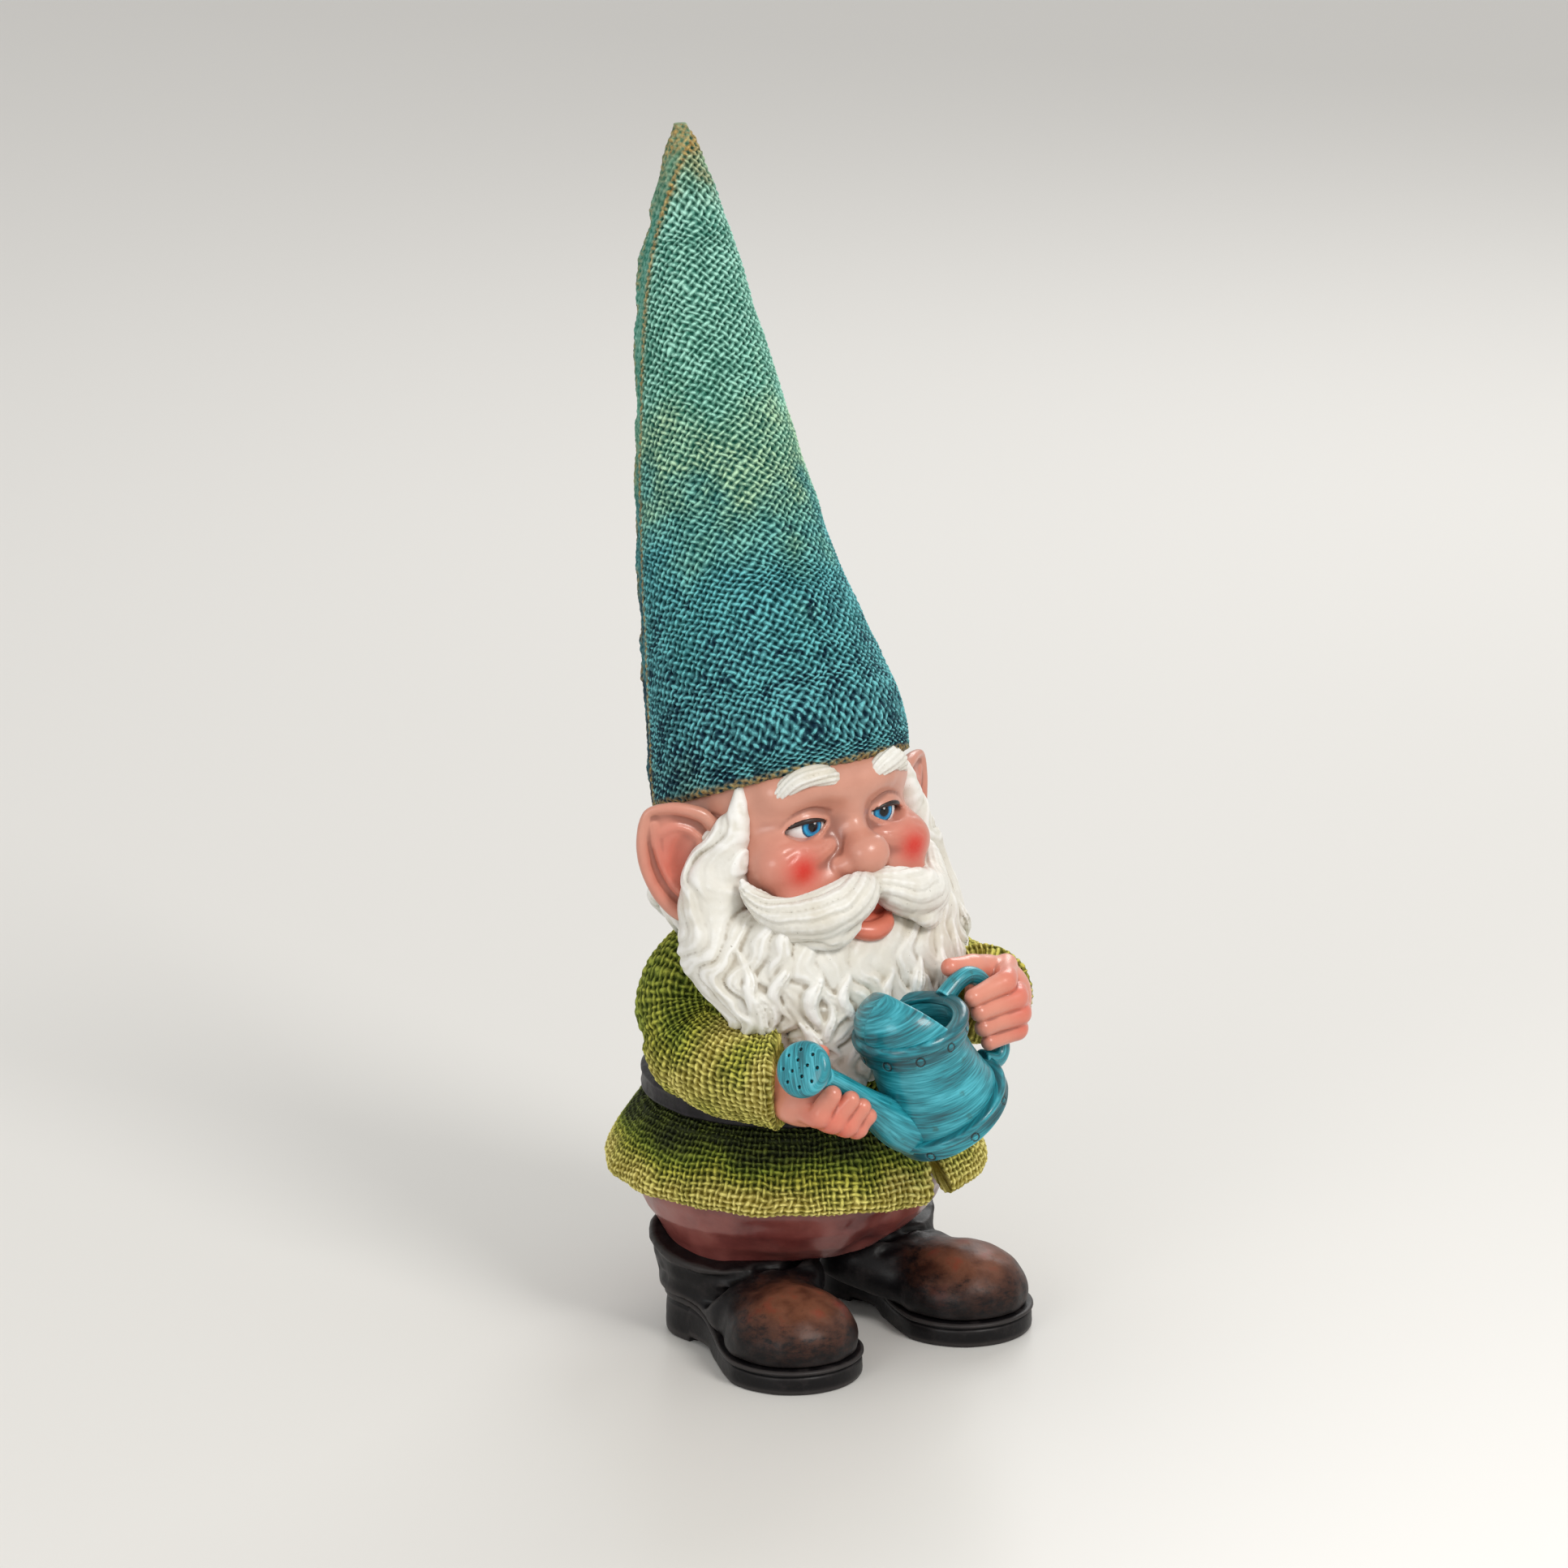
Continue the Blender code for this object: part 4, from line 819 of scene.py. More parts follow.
def make_head():
    """The skull, face and ears as one skin, with the mouth and eye openings pressed in."""
    clay = Clay((-68, -58, 138), (68, 44, 228), FINE * 1.1)
    clay.ball((0, 1, 187), (39, 38, 36))
    clay.ball((0, -8, 166), (37, 29, 25), 10)
    clay.rod([(0, 2, 140, 18), (0, 2, 160, 22)], 6)
    clay.rod([(-24, -24, 195, 5), (-12, -31.5, 197.5, 5.5), (0, -32.5, 197, 5), (12, -31.5, 197.5, 5.5),
              (24, -24, 195, 5)], 7, count=14)
    for side in (-1, 1):
        eye = (side * EYE[0], EYE[1], EYE[2])
        clay.ball((side * 15.5, -42.5, 184), (13, 11.5, 8.5), 6, press=True)
        clay.ball((side * 23.5, -28.5, 171.2), (12, 10, 10.5), 6)
        clay.ball((side * 16, -33, 176.2), (8.5, 4, 2.6), 4)
        clay.rod(mirror(side, [(3, -34, 168, 4), (12, -36, 165, 5), (24, -34, 160, 6)]), 5)
        clay.ball(eye, EYE_R + LID, 2.5)
        for arc, thick in ((EYE_UP, 0.9), (-EYE_DOWN, 0.65)):
            spots = np.linspace(-1, 1, 13)
            clay.rod([(*lid_point(side, t, arc, LID), thick * (1 - 0.5 * t**2)) for t in spots], 1.2)
        clay.slit(eye, (side * math.sin(EYE_TURN), -math.cos(EYE_TURN)), EYE_HALF, EYE_UP, EYE_DOWN,
                  -side * EYE_TILT)
        for line, rows in EYE_CREASES:
            line = [(x, clay.front(x, z), z, r) for x, z, r in mirror(side, line)]
            clay.rod(line, 0.9, press=True, count=rows)
        for drop, reach in ((0, 30.0), (-2.6, 30.5), (-5.6, 29.5)):
            crease = []
            for t in np.linspace(0, 1, 7):
                x, z = side * (25.2 + (reach - 25.2) * t), 181 + 0.7 * drop + (0.3 * drop - 1.5) * t
                crease.append((x, clay.front(x, z), z, 0.1 + 0.3 * math.sin(math.pi * t)))
            if np.isfinite(crease).all():
                clay.rod(crease, 0.6, press=True)
        clay.ball((side * 6.6, -39, 170.6), (4.6, 4.6, 3.9), 2.5)
        clay.ball((side * 3.6, -43.5, 166.8), (1.7, 2.6, 1.4), 1.0, press=True)
        out = np.array((side * EAR_OUT[0], EAR_OUT[1], 0))
        ahead = np.array((side * EAR_OUT[1], -EAR_OUT[0], 0))
        turn = np.stack([out, ahead, (0, 0, 1)], axis=1)
        clay.rod([(*ear_point(side, along, 0.6, z), r) for along, z, r in EAR_RIM], 2, count=60)
        for (along, z), radii in (((11, 176), (12, 2.4, 13.5)), ((7.5, 165), (9.5, 2.4, 12.5)),
                                  ((17.5, 182.5), (5.5, 2.2, 5.5))):
            clay.ball(ear_point(side, along, -1.8, z), radii, 3, turn)
        for fold, lift, blend, rows in EAR_FOLDS:
            clay.rod([(*ear_point(side, along, lift, z), r) for along, z, r in fold], blend, count=rows)
        for along, z, radii in ((9.5, 172, (5, 2.6, 8)), (7, 165, (3.6, 2.8, 4.5))):
            clay.ball(ear_point(side, along, 1.4, z), radii, 1.6, turn, press=True)
        clay.rod([(*ear_point(side, 2.5, 1.6, 176), 1.4), (*ear_point(side, 3.5, 2.6, 169), 2.3),
                  (*ear_point(side, 3, 2, 161), 2.0)], 2.5, count=10)
    clay.rod([(0, -32, 191, 3.6), (0, -33, 184, 3.4), (0, -37.5, 178.5, 4.6)], 4, count=10)
    clay.ball((0, -42.5, 174.4), (8.0, 7.2, 7.2), 2.5)
    clay.ball((-3.6, -46, 154.5), (10, 12, 5.6), 2, press=True)
    for low in (0, 1):
        clay.rod([(-7, -36.5 + low, 206 + 3 * low, 0.3), (0, -37.2 + low, 205 + 3 * low, 0.5),
                  (7, -36.5 + low, 206 + 3 * low, 0.3)], 1.5, press=True, count=8)

    def blush(v):
        total = 0.10 * near(v, (0, -46, 174), 9)
        for side in (-1, 1):
            cheek = near(v, (side * CHEEK[0], CHEEK[1], CHEEK[2]), (7.2, 12, 6.4))
            ear = smooth(41, 46, side * v[:, 0]) * near(v, ear_point(side, 13, 2, 172), (10, 8, 15))
            total = total + 0.80 * cheek**1.4 + 0.5 * ear + 0.28 * near(v, (side * 24, -32, 168), 14)
            total = total + 0.16 * near(v, (side * 15, -32, 178), (9, 5, 3))
        return total + 0.9 * near(v, (-3, -40, 154), (10, 12, 7))

    finish = skin_finish("skin_paint", (197, 139, 119), (206, 46, 30), (104, 50, 36))
    sculpted("head_and_ears", clay, finish, ("head", "right_ear", "left_ear"), 0.12, blush)


def lathe(profile, centre_at, columns):
    """A surface turned from (radius, distance) rows; centre_at gives the centre and two side directions."""
    angle = turns(columns)
    rows = []
    for radius, distance in profile:
        centre, first, second = centre_at(distance)
        rows.append(centre + radius * (np.cos(angle)[:, None] * first + np.sin(angle)[:, None] * second))
    return np.array(rows), angle


def straight(origin, direction):
    """Centres along a straight axis, for lathe."""
    origin, axis = np.array(origin, float), unit(direction)
    first = unit(np.cross(crosswise(axis), axis))
    return lambda distance: (origin + axis * distance, first, np.cross(axis, first))


def make_eyes():
    """The eyeballs, painted by the angle from where they look, each with a painted highlight (a white spot up
    and a little towards +X of its pupil), and a lash line along each upper lid.
    """
    f = Finish("eye_paint", roughness=0.08, coat=0.2, specular=0.3, coat_roughness=0.03)
    gaze = f.mask("gaze")
    colour = f.ramp(f.plus(gaze, f.grit(0.04, 0.5)), [
        (0.0, rgb(5, 5, 7)), (0.13, rgb(5, 5, 7)), (0.15, rgb(14, 96, 150)), (0.23, rgb(40, 164, 214)),
        (0.275, rgb(12, 84, 130)), (0.295, rgb(8, 40, 68)), (0.315, rgb(232, 234, 234)),
        (1.0, rgb(226, 220, 214))])
    # painted highlight: a white spot on each eyeball that stands in for the reflection of the lamps
    colour = f.blend(f.step(f.mask("painted_glint"), 0.62, 0.38), colour, rgb(255, 255, 255))
    finish = f.done(colour, f.speckle(3.0), 0.02)
    lash = Finish("lash_paint", roughness=0.4)
    lash_finish = lash.done(lash.ramp(lash.speckle(0.8), [(0.3, rgb(14, 10, 10)), (0.8, rgb(52, 30, 24))]),
                            lash.speckle(0.5), 0.03)
    for name, side in (("right", -1), ("left", 1)):
        centre = np.array((side * EYE[0], EYE[1], EYE[2]))
        direction = unit((side * 0.02 - 0.03, -1, 0.06))
        angles = np.linspace(0.02, math.pi - 0.02, 60)
        half_circle = [(EYE_R * math.sin(a), -EYE_R * math.cos(a)) for a in angles]
        points, _ = lathe(half_circle, straight(centre, direction), 96)
        verts = points.reshape(-1, 3)
        out = unit(verts - centre)
        gaze_at = np.arccos(np.clip(out @ direction, -1, 1)) / (math.pi / 2)
        # where the painted highlight sits: above the pupil and a little towards +X
        painted_glint = centre + EYE_R * unit(direction + (0.04 - 0.05 * side, 0, 0.13))
        piece(name + "_eye_ball", verts, grid_quads(points), finish, (name + "_eye",),
              {"gaze": gaze_at, "painted_glint": np.linalg.norm(verts - painted_glint, axis=1)})
        path = spline([(*lid_point(side, t, EYE_UP - 0.05, LID + 0.25), 0.95 - 0.55 * t**2 + 0.12 * t)
                       for t in np.linspace(-0.97, 0.99, 9)], 40)
        rings, _, _ = tube(path, 12)
        rings, _ = closed_ends(rings, 3)
        piece(name + "_lash_line", rings.reshape(-1, 3), grid_quads(rings), lash_finish)


def make_lip(finish):
    """The lower lip with the tongue behind it."""
    clay = Clay((-20, -58, 142), (14, -32, 166), 0.4)
    clay.rod([(-13.2, -46, 153.6, 1.4), (-9.6, -49.4, 151, 2.7), (-3.6, -51.2, 149.8, 3.3),
              (2.4, -49.8, 150.8, 2.7), (6.2, -46.2, 153.2, 1.4)], 1, count=20)
    clay.ball((-3.6, -45, 150.5), (8.5, 5, 3.6), 3)
    clay.ball((0.5, -40.5, 157.5), (14, 4.6, 8), 2)
    clay.rod([(-8.5, -47.5, 154, 0.4), (-3.6, -48.5, 152.9, 0.8), (1.4, -47.5, 153.8, 0.4)], 1.5, press=True,
             count=10)
    clay.rod([(-3.6, -46.4, 155, 0.4), (-3.6, -45.2, 158, 0.7)], 1.5, press=True)
    sculpted("lower_lip_and_tongue", clay, finish, ("lower_lip",), 0.1,
             lambda v: 0.25 + 0.8 * near(v, (-3, -42, 158), (12, 6, 5)))


# ---- sculpted hair ----
def hair_finish():
    """White paint with a brown wash in the grooves, warm patches and specks of grime."""
    f = Finish("hair_paint", roughness=0.5, coat=0.06, specular=0.35, coat_roughness=0.3)
    level = f.plus(f.mask("relief"), f.grit(0.8, 2.6, 5.0))
    colour = f.ramp(f.speckle(14.0, 3.0), [(0.3, rgb(214, 210, 198)), (0.7, rgb(226, 225, 219))])
    wash = f.times(f.step(level, -0.1, -1.3), f.plus(0.3, f.times(f.speckle(18.0), 0.7)))
    colour = f.blend(wash, colour, rgb(134, 118, 92))
    colour = f.over(colour, f.speckle(22.0, 4.0), 0.52, 0.75, 0.35, (196, 184, 158))
    colour = f.over(colour, level, 0.2, 0.9, 0.65, (242, 242, 240))
    colour = f.over(colour, f.speckle(1.3, 2.0), 0.73, 0.77, 0.5, (110, 98, 78))
    return f.done(colour, f.speckle(1.1, 4.0), 0.08)


def strands(phase, depth, sharp=0.7):
    """Rounded ridges with sharp valleys at every whole number of the phase."""
    return depth * (np.abs(np.sin(math.pi * phase)) ** sharp - 0.55)


def combed(points, across, depth, seed):
    """Locks and, on them, finer strands. across counts the locks sideways."""
    across = across + 0.45 * noise(points, 15, seed) + 0.2 * noise(points, 6, seed + 1)
    lock = noise(np.stack([np.floor(across), points[:, 2] / 26, 0 * across], axis=1), 1.0, seed + 2)
    full = depth * (1 + 0.6 * lock)
    thin = 2.7 * across + 0.6 * lock + 0.3 * noise(points, 5, seed + 4)
    return strands(across, full) + strands(thin, 0.34 * full, 0.8) + 0.3 * noise(points, 9, seed + 3)


def taper(start, middle, end, count):
    """Radii of a lock, from its root through its middle to its tip."""
    t = np.linspace(0, 1, count)
    return np.where(t < 0.4, start + (middle - start) * smooth(0, 0.4, t),
                    end + (middle - end) * (1 - smooth(0.4, 1, t)))


def flow(k, t):
    """x and z on the beard's front: k from -1 (its right edge) to 1, t from 0 at the top to 1 at the tip."""
    edge = np.array([(46, 156), (50, 145), (51, 134), (44, 121), (31, 111), (22, 104)], float)
    core = np.array([(0, 143), (0, 136), (-1, 128), (-3, 119), (-8, 110), (-12, 101)], float)
    at = np.linspace(0, 1, 6)
    share = abs(k) ** 0.9
    x = (1 - share) * np.interp(t, at, core[:, 0]) + share * np.interp(t, at, edge[:, 0]) * np.sign(k)
    z = (1 - share) * np.interp(t, at, core[:, 1]) + share * np.interp(t, at, edge[:, 1])
    return x, z


# Rods that carry the side hair, as (x, y, z, radius) rows and how softly they blend, and balls added to it.
SIDE_HAIR = (([(33.0, -15.5, 197, 1.6), (34.8, -17.4, 190, 3.4), (37.2, -17.0, 181, 5.4), (40, -15.5, 166, 8),
               (44, -15, 152, 10.5), (44, -19, 142, 12), (37, -31, 127, 12)], 4),
             ([(38.2, -12.5, 183, 2.2), (40.4, -12.5, 176, 4.6), (42, -12, 166, 7)], 4),
             ([(39.6, -9, 180, 1.4), (42.4, -10, 174, 3.8), (44.6, -10.5, 167, 6.0), (46.5, -11, 158, 7)], 4),
             ([(30, -33, 146, 12), (20, -42, 122, 12)], 8))
SIDE_TUFTS = ((50.5, -14, 141, 4.0), (47.5, -24, 137.5, 4.2), (46.5, -12, 165, 4.5))
# Rows of locks laid over the beard: where they start and how far they reach along the flow, then their
# radius, their number and how far they swing.
LOCK_ROWS = ((0.16, 0.5, 2.8, 9, 2.4), (0.4, 0.5, 2.8, 8, 2.6), (0.6, 0.42, 2.5, 7, 2.2))


def make_beard(finish):
    """The beard and the hair in front of the ears, combed all over, with separate locks laid on top."""
    rng = np.random.default_rng(4)
    clay = Clay((-66, -74, 90), (66, 10, 202))
    for side in (-1, 1):
        for path, blend in SIDE_HAIR:
            clay.rod(mirror(side, path), blend, count=16)
        for x, y, z, r in mirror(side, SIDE_TUFTS):
            clay.ball((x, y, z), r, 5)
    clay.ball((0, -40, 136), (31, 14.5, 18), 8)
    clay.ball((-2, -44.5, 118), (24, 12, 20), 8)
    clay.rod([(-6, -49, 114, 11), (-13, -53, 102.5, 5.5)], 6)

    def locks(p):
        """The beard's hair runs down and bends in waves. Locks are counted round an upright axis."""
        z = p[:, 2]
        middle = -12 * smooth(135, 104, z)
        turn = np.arctan2(p[:, 0] - middle, -(p[:, 1] + 6))
        bend = 0.62 * np.sin(TAU * z / 33 + 2.6 * noise(p, 32, 71))
        bend = bend + 0.12 * np.sin(TAU * z / 15 + 3 * noise(p, 17, 72))
        across = turn * 5.2 + bend * (0.75 + 0.25 * smooth(165, 140, z))
        bare = near(p, (-3, -50, 143), (15, 14, 7))
        long = 1.05 + 0.2 * smooth(150, 128, z) - 0.5 * smooth(178, 190, z)
        return combed(p, across, 1.5 * long * (1 - 0.8 * bare), 74)

    clay.comb(locks)

    def drape(x, z, lift):
        """The y of a line laid on the beard's front and lifted off it, or None where there is no beard."""
        y = clay.front(x, z)
        if not np.isfinite(y).any():
            return None
        y = np.interp(np.arange(len(x)), np.arange(len(x))[np.isfinite(y)], y[np.isfinite(y)])
        y = np.convolve(np.pad(y, 2, mode="edge"), np.ones(5) / 5, mode="valid")
        return y - lift

    t = np.linspace(0, 1, 17)
    for start, reach, width, locks_across, bend in LOCK_ROWS:
        for n, k in enumerate(np.linspace(-0.98, 0.98, locks_across)):
            k = k + rng.uniform(-0.06, 0.06)
            x, z = flow(k, start + rng.uniform(-0.07, 0.07) + t * reach)
            swing = bend * rng.uniform(0.7, 1.2)
            wave = np.sin(TAU * t * rng.uniform(0.75, 1.1) + 0.5 * n + rng.uniform(-0.6, 0.6))
            x = x + swing * wave * np.sin(math.pi * t) ** 0.4
            y = drape(x, z, -0.1 * width)
            if y is None:
                continue
            full = width * rng.uniform(0.75, 1.15)
            clay.rod(np.stack([x, y, z, taper(0.4, full, 0.4, 17)], axis=1), 0.7)
            for groove in (-0.38, 0.34):
                beside = x + groove * full * np.sin(math.pi * t) ** 0.5
                y = drape(beside, z, 0.0)
                if y is not None:
                    cut = np.stack([beside, y, z, taper(0.1, 0.5, 0.1, 17)], axis=1)
                    clay.rod(cut[3:14], 0.5, press=True)
    clay.ball((-3.6, -54, 155), (10.8, 14, 6.4), 2, press=True)
    clay.rod([(-9, -38, 160, 4), (0, -38, 163, 5), (9, -38, 160, 4)], 2, press=True)
    sculpted("beard_and_side_hair", clay, finish, ("beard",), 0.1)


def around_core(points, core, up, ahead):
    """Where points lie along a curve (0 to 1) and round it, as an angle."""
    best, spot = np.full(len(points), 1e9), np.zeros(len(points), int)
    for k, centre in enumerate(core[:, :3]):
        gap = ((points - centre) ** 2).sum(axis=1)
        spot = np.where(gap < best, k, spot)
        best = np.minimum(best, gap)
    away = points - core[spot, :3]
    turn = np.arctan2((away * up[spot]).sum(axis=1), (away * ahead[spot]).sum(axis=1))
    return spot / (len(core) - 1), turn


def tuft(clay, core, across, twist, depth, seed):
    """Combs a curved tuft of hair lengthwise, with the strands turning round it by twist radians."""
    along = unit(np.gradient(core[:, :3], axis=0))
    up = unit(np.array((0, 0, 1.0)) - along * along[:, 2:3])
    ahead = np.cross(along, up)
    ahead = ahead * np.where(ahead[:, 1:2] > 0, -1, 1)

    def height(p):
        t, turn = around_core(p, core, up, ahead)
        fade = np.interp(t, (0, 0.08, 0.85, 1), (0.3, 1, 1, 0.4))
        return combed(p, across * (turn + twist * t + 0.25 * np.sin(TAU * t)) / TAU, depth * fade, seed)

    clay.comb(height)


# The left half of the moustache, and the two loose tips below it.
MOUSTACHE = [(0.5, -47, 165.5, 3.6), (6, -49.2, 163.4, 6.4), (13, -49.8, 160.4, 8.2), (21, -47.4, 157.6, 8.6),
             (28.5, -42.2, 156.6, 7.2), (34.5, -36, 159, 5.0), (38.4, -30.5, 164.5, 3.0),
             (39.2, -28, 168, 1.2)]
MOUSTACHE_TIPS = ([(24, -47, 153.5, 1.5), (30, -42, 150.5, 3.2), (35, -36, 150.5, 2.4),
                   (38.5, -31, 153.5, 0.6)],
                  [(12, -53, 153, 1.2), (19, -51.5, 149.8, 2.8), (26, -47, 148.8, 1.8),
                   (30, -43, 149.5, 0.5)])


def make_moustache(finish):
    """Two tufts, each combed on its own before they are joined."""
    clay = Clay((-50, -68, 138), (50, -16, 180), fine(0.5))
    for side in (-1, 1):
        core = spline([(side * x - 1.2, y + 1.2, z, r) for x, y, z, r in MOUSTACHE], 70)
        half = Clay(clay.low, clay.low + clay.step * (clay.size - 1), clay.step)
        half.rod(core[::3], 1.0)
        for tip in MOUSTACHE_TIPS:
            half.rod(mirror(side, tip), 2, count=14)
        tuft(half, core, 11, -side * 2.2, 0.95, 81 + side)
        clay.field = np.minimum(clay.field, half.field)
    clay.rod([(0, -56, 165, 0.4), (0, -52, 160, 1.0), (0, -44, 156, 1.6)], 1.2, press=True)
    sculpted("moustache_hair", clay, finish, ("moustache",), 0.06, rounds=10)


BROW = [(7.6, -35.0, 199.4, 2.2), (12, -35.2, 201.8, 3.4), (17.5, -33.4, 202.2, 3.7),
        (22.5, -30.2, 199.4, 3.2), (26, -27, 195.6, 2.2), (27.6, -25.6, 193, 0.9)]


def make_brow(name, side, finish):
    """One bushy eyebrow."""
    clay = Clay((side * 18.5 - 18, -46, 184), (side * 18.5 + 18, -18, 212), 0.4)
    core = spline(mirror(side, BROW), 60)
    clay.rod(core[::3], 1)
    tuft(clay, core, 9, -side * 2.2, 0.75, 87)
    sculpted(name + "_eyebrow", clay, finish, (name + "_brow",), 0.05, rounds=10)


def make_back_hair(finish):
    """The hair behind, in three overlapping rows of locks."""
    rng = np.random.default_rng(12)
    clay = Clay((-58, -8, 132), (58, 62, 196))
    clay.ball((0, 3, 168), (41, 39, 26), 0)
    clay.ball((0, 3, 150), (37, 36, 12), 8)
    for lap, (top, bottom) in enumerate(((184, 150), (176, 140), (168, 134))):
        for strand in range(19):
            a = math.radians(-82 + 9.1 * strand + rng.uniform(-2.5, 2.5) + 4 * (lap % 2))
            lift = 38.6 + 1.4 * lap
            rows = []
            for t in np.linspace(0, 1, 9):
                turn = a + 0.11 * math.sin(TAU * t * 0.9 + strand * 1.7)
                z = top + (bottom - top) * t + rng.uniform(-0.5, 0.5)
                r = lift - 9 * max(0.0, (150 - z) / 20) + 3 * math.sin(math.pi * t)
                rows.append((r * math.sin(turn), 3 + 0.98 * r * math.cos(turn), z, 1.0))
            path = spline(rows, 16)
            path[:, 3] = taper(1.4, rng.uniform(2.6, 3.6), 0.8, 16)
            clay.rod(path, 1.1)
    clay.comb(lambda p: strands(np.arctan2(p[:, 0], p[:, 1] - 3) * 17 + 0.9 * noise(p, 9, 92), 0.5, 0.8))
    clay.slab((0, -2, 160), (0, -1, 0), 2)
    sculpted("back_hair_locks", clay, finish, ("back_hair",), 0.15)


# ---- hands ----
HANDS = {   # for each finger: root, middle joint and tip; then the thumb, from its root
    "right": ([((-46, -61, 99), (-44.5, -73.5, 99.8), (-42.0, -78.4, 107.6)),
               ((-41, -61, 97), (-39.7, -75, 97.2), (-35.2, -79.6, 104.6)),
               ((-36, -61, 95.5), (-34.9, -75.8, 95.2), (-30.6, -79.8, 101.2)),
               ((-31, -61, 94.5), (-30.3, -75.2, 93.2), (-27.4, -79.2, 97.2))],
              [(-43, -54, 103, 5), (-41, -59, 108, 4.6), (-37.5, -62.4, 112.8, 3.8),
               (-35.4, -63.6, 116.6, 3.0)]),
    "left": ([((46, -60, 130.5), (35.5, -72, 130), (20.6, -74.4, 127.8)),
              ((49, -60, 124.6), (39.6, -72.8, 123.8), (22.8, -75, 122.2)),
              ((49.5, -60, 118.2), (41, -72.8, 117.8), (24.6, -75, 116.6)),
              ((48, -60, 112.4), (41, -71.8, 112.0), (27.4, -74.4, 110.6))],
             [(46, -55, 124, 6.2), (40, -59, 129.5, 5.4), (30, -61.8, 133, 4.6), (19.6, -63, 135.6, 3.2)]),
}


def make_hand(name, low, high, palm, finish):
    """A hand inside the box from low to high. palm lists its balls as centre, radii and blend."""
    fingers, thumb = HANDS[name]
    clay = Clay(low, high, fine(0.45))
    for centre, radii, blend in palm:
        clay.ball(centre, radii, blend)
    middle = np.mean([joint for _, joint, _ in fingers], axis=0)
    for k, (root, joint, tip) in enumerate(fingers):
        root, joint, tip = np.array(root, float), np.array(joint, float), np.array(tip, float)
        knuckle = joint + 0.6 * unit(joint - (root + tip) / 2)
        size = 1 - 0.09 * (k == 3)
        path = [(*root, 4.0), (*((root + knuckle) / 2), 3.75), (*knuckle, 4.0),
                (*((knuckle + tip) / 2), 3.55), (*tip, 3.15)]
        clay.rod([(x, y, z, r * size) for x, y, z, r in path], 0.7, count=18)
        clay.ball(knuckle + 1.2 * unit(knuckle - root), 3.4 * size, 1.6)
    clay.rod(thumb, 1.6, count=16)
    clay.ball(thumb[2][:3], 4.3, 2)

    def blush(v):
        total = 0.15 + 0.35 * near(v, middle, (9, 9, 13))
        for _, joint, tip in fingers:
            total = total + 0.55 * near(v, joint, 4.2) + 0.12 * near(v, tip, 3)
        return total + 0.3 * near(v, thumb[-1][:3], 5)

    sculpted(name + "_hand_skin", clay, finish, (name + "_hand",), 0.12, blush, rounds=12)


# ---- watering can ----
CAN_BASE = (14.1, -71.0, 87.5)                       # middle of the can's underside
CAN_ROLL = math.radians(36.3)                        # lean of the can at its base
CAN_BEND = 0.0082                                    # how much it straightens with each millimetre
HOOD_AT = 39.6                                       # where the hood sits on the centre line


def can_place(distance):
    """Centre and side directions of the can at a height along its gently bent centre line."""
    roll = CAN_ROLL - CAN_BEND * distance
    x = (math.cos(CAN_ROLL) - math.cos(roll)) / CAN_BEND
    up = (math.sin(CAN_ROLL) - math.sin(roll)) / CAN_BEND
    centre = np.array(CAN_BASE) + np.array((x, 0, up))
    return centre, np.array((math.cos(roll), 0, math.sin(roll))), np.array((0.0, 1.0, 0.0))


def can_finish(name, dark=0.0):
    """Brushed enamel: streaks of light teal dragged over dark teal, glossy where it is thick."""
    f = Finish(name, roughness=0.3, coat=0.35, specular=0.5, coat_roughness=0.12)
    stroke = f.tree.nodes.new("ShaderNodeAttribute")
    stroke.attribute_name = "stroke"

    def streaks(length, width, detail):
        """Noise drawn out along the brush strokes, in millimetres."""
        scaled = f.tree.nodes.new("ShaderNodeMapping")
        scaled.inputs["Scale"].default_value = (1 / length, 1 / width, 1)
        f.tree.links.new(stroke.outputs["Vector"], scaled.inputs["Vector"])
        streak = f.tree.nodes.new("ShaderNodeTexNoise")
        streak.inputs["Scale"].default_value = 1.0
        streak.inputs["Detail"].default_value = detail
        f.tree.links.new(scaled.outputs["Vector"], streak.inputs["Vector"])
        return streak.outputs["Fac"]

    bristles, broad = streaks(9.0, 0.55, 4.0), streaks(26.0, 5.0, 2.0)
    level = f.minus(f.plus(f.times(bristles, 0.62), f.times(broad, 0.62)), dark)
    level = f.plus(level, f.times(f.step(f.mask("relief"), 0.1, 0.9), 0.22))
    colour = f.ramp(level, [(0.34, rgb(6, 62, 70)), (0.50, rgb(10, 98, 110)), (0.62, rgb(26, 138, 152)),
                            (0.78, rgb(70, 178, 194))])
    colour = f.over(colour, f.speckle(7.0, 5.0), 0.62, 0.72, 0.6, (34, 84, 78))
    colour = f.over(colour, f.mask("relief"), -0.1, -0.8, 0.8, (8, 44, 48))
    mark = f.mask("mark")
    colour = f.blend(f.step(mark, 0.42, 0.7), colour, rgb(6, 30, 34))
    height = f.minus(f.times(bristles, 0.5), f.step(mark, 0.3, 0.8))
    return f.done(colour, height, 0.18, f.plus(0.22, f.times(level, 0.25)))


def stroked(name, points, quads, finish, nodes, along, across, mark=None):
    """A piece of the can that carries places along and across its brush strokes. mark is 1 in dark rings."""
    verts = points.reshape(-1, 3)
    masks = {"relief": relief(verts, quads, 10) / 0.4, "mark": 0 * verts[:, 0] if mark is None else mark}
    obj = piece(name, verts, quads, finish, nodes, masks)
    layer = obj.data.attributes.new("stroke", "FLOAT_VECTOR", "POINT")
    flow_at = np.stack([np.ravel(along), np.ravel(across), 0 * verts[:, 0] + len(name) * 7.3], axis=1)
    layer.data.foreach_set("vector", flow_at.astype(np.float32).ravel())


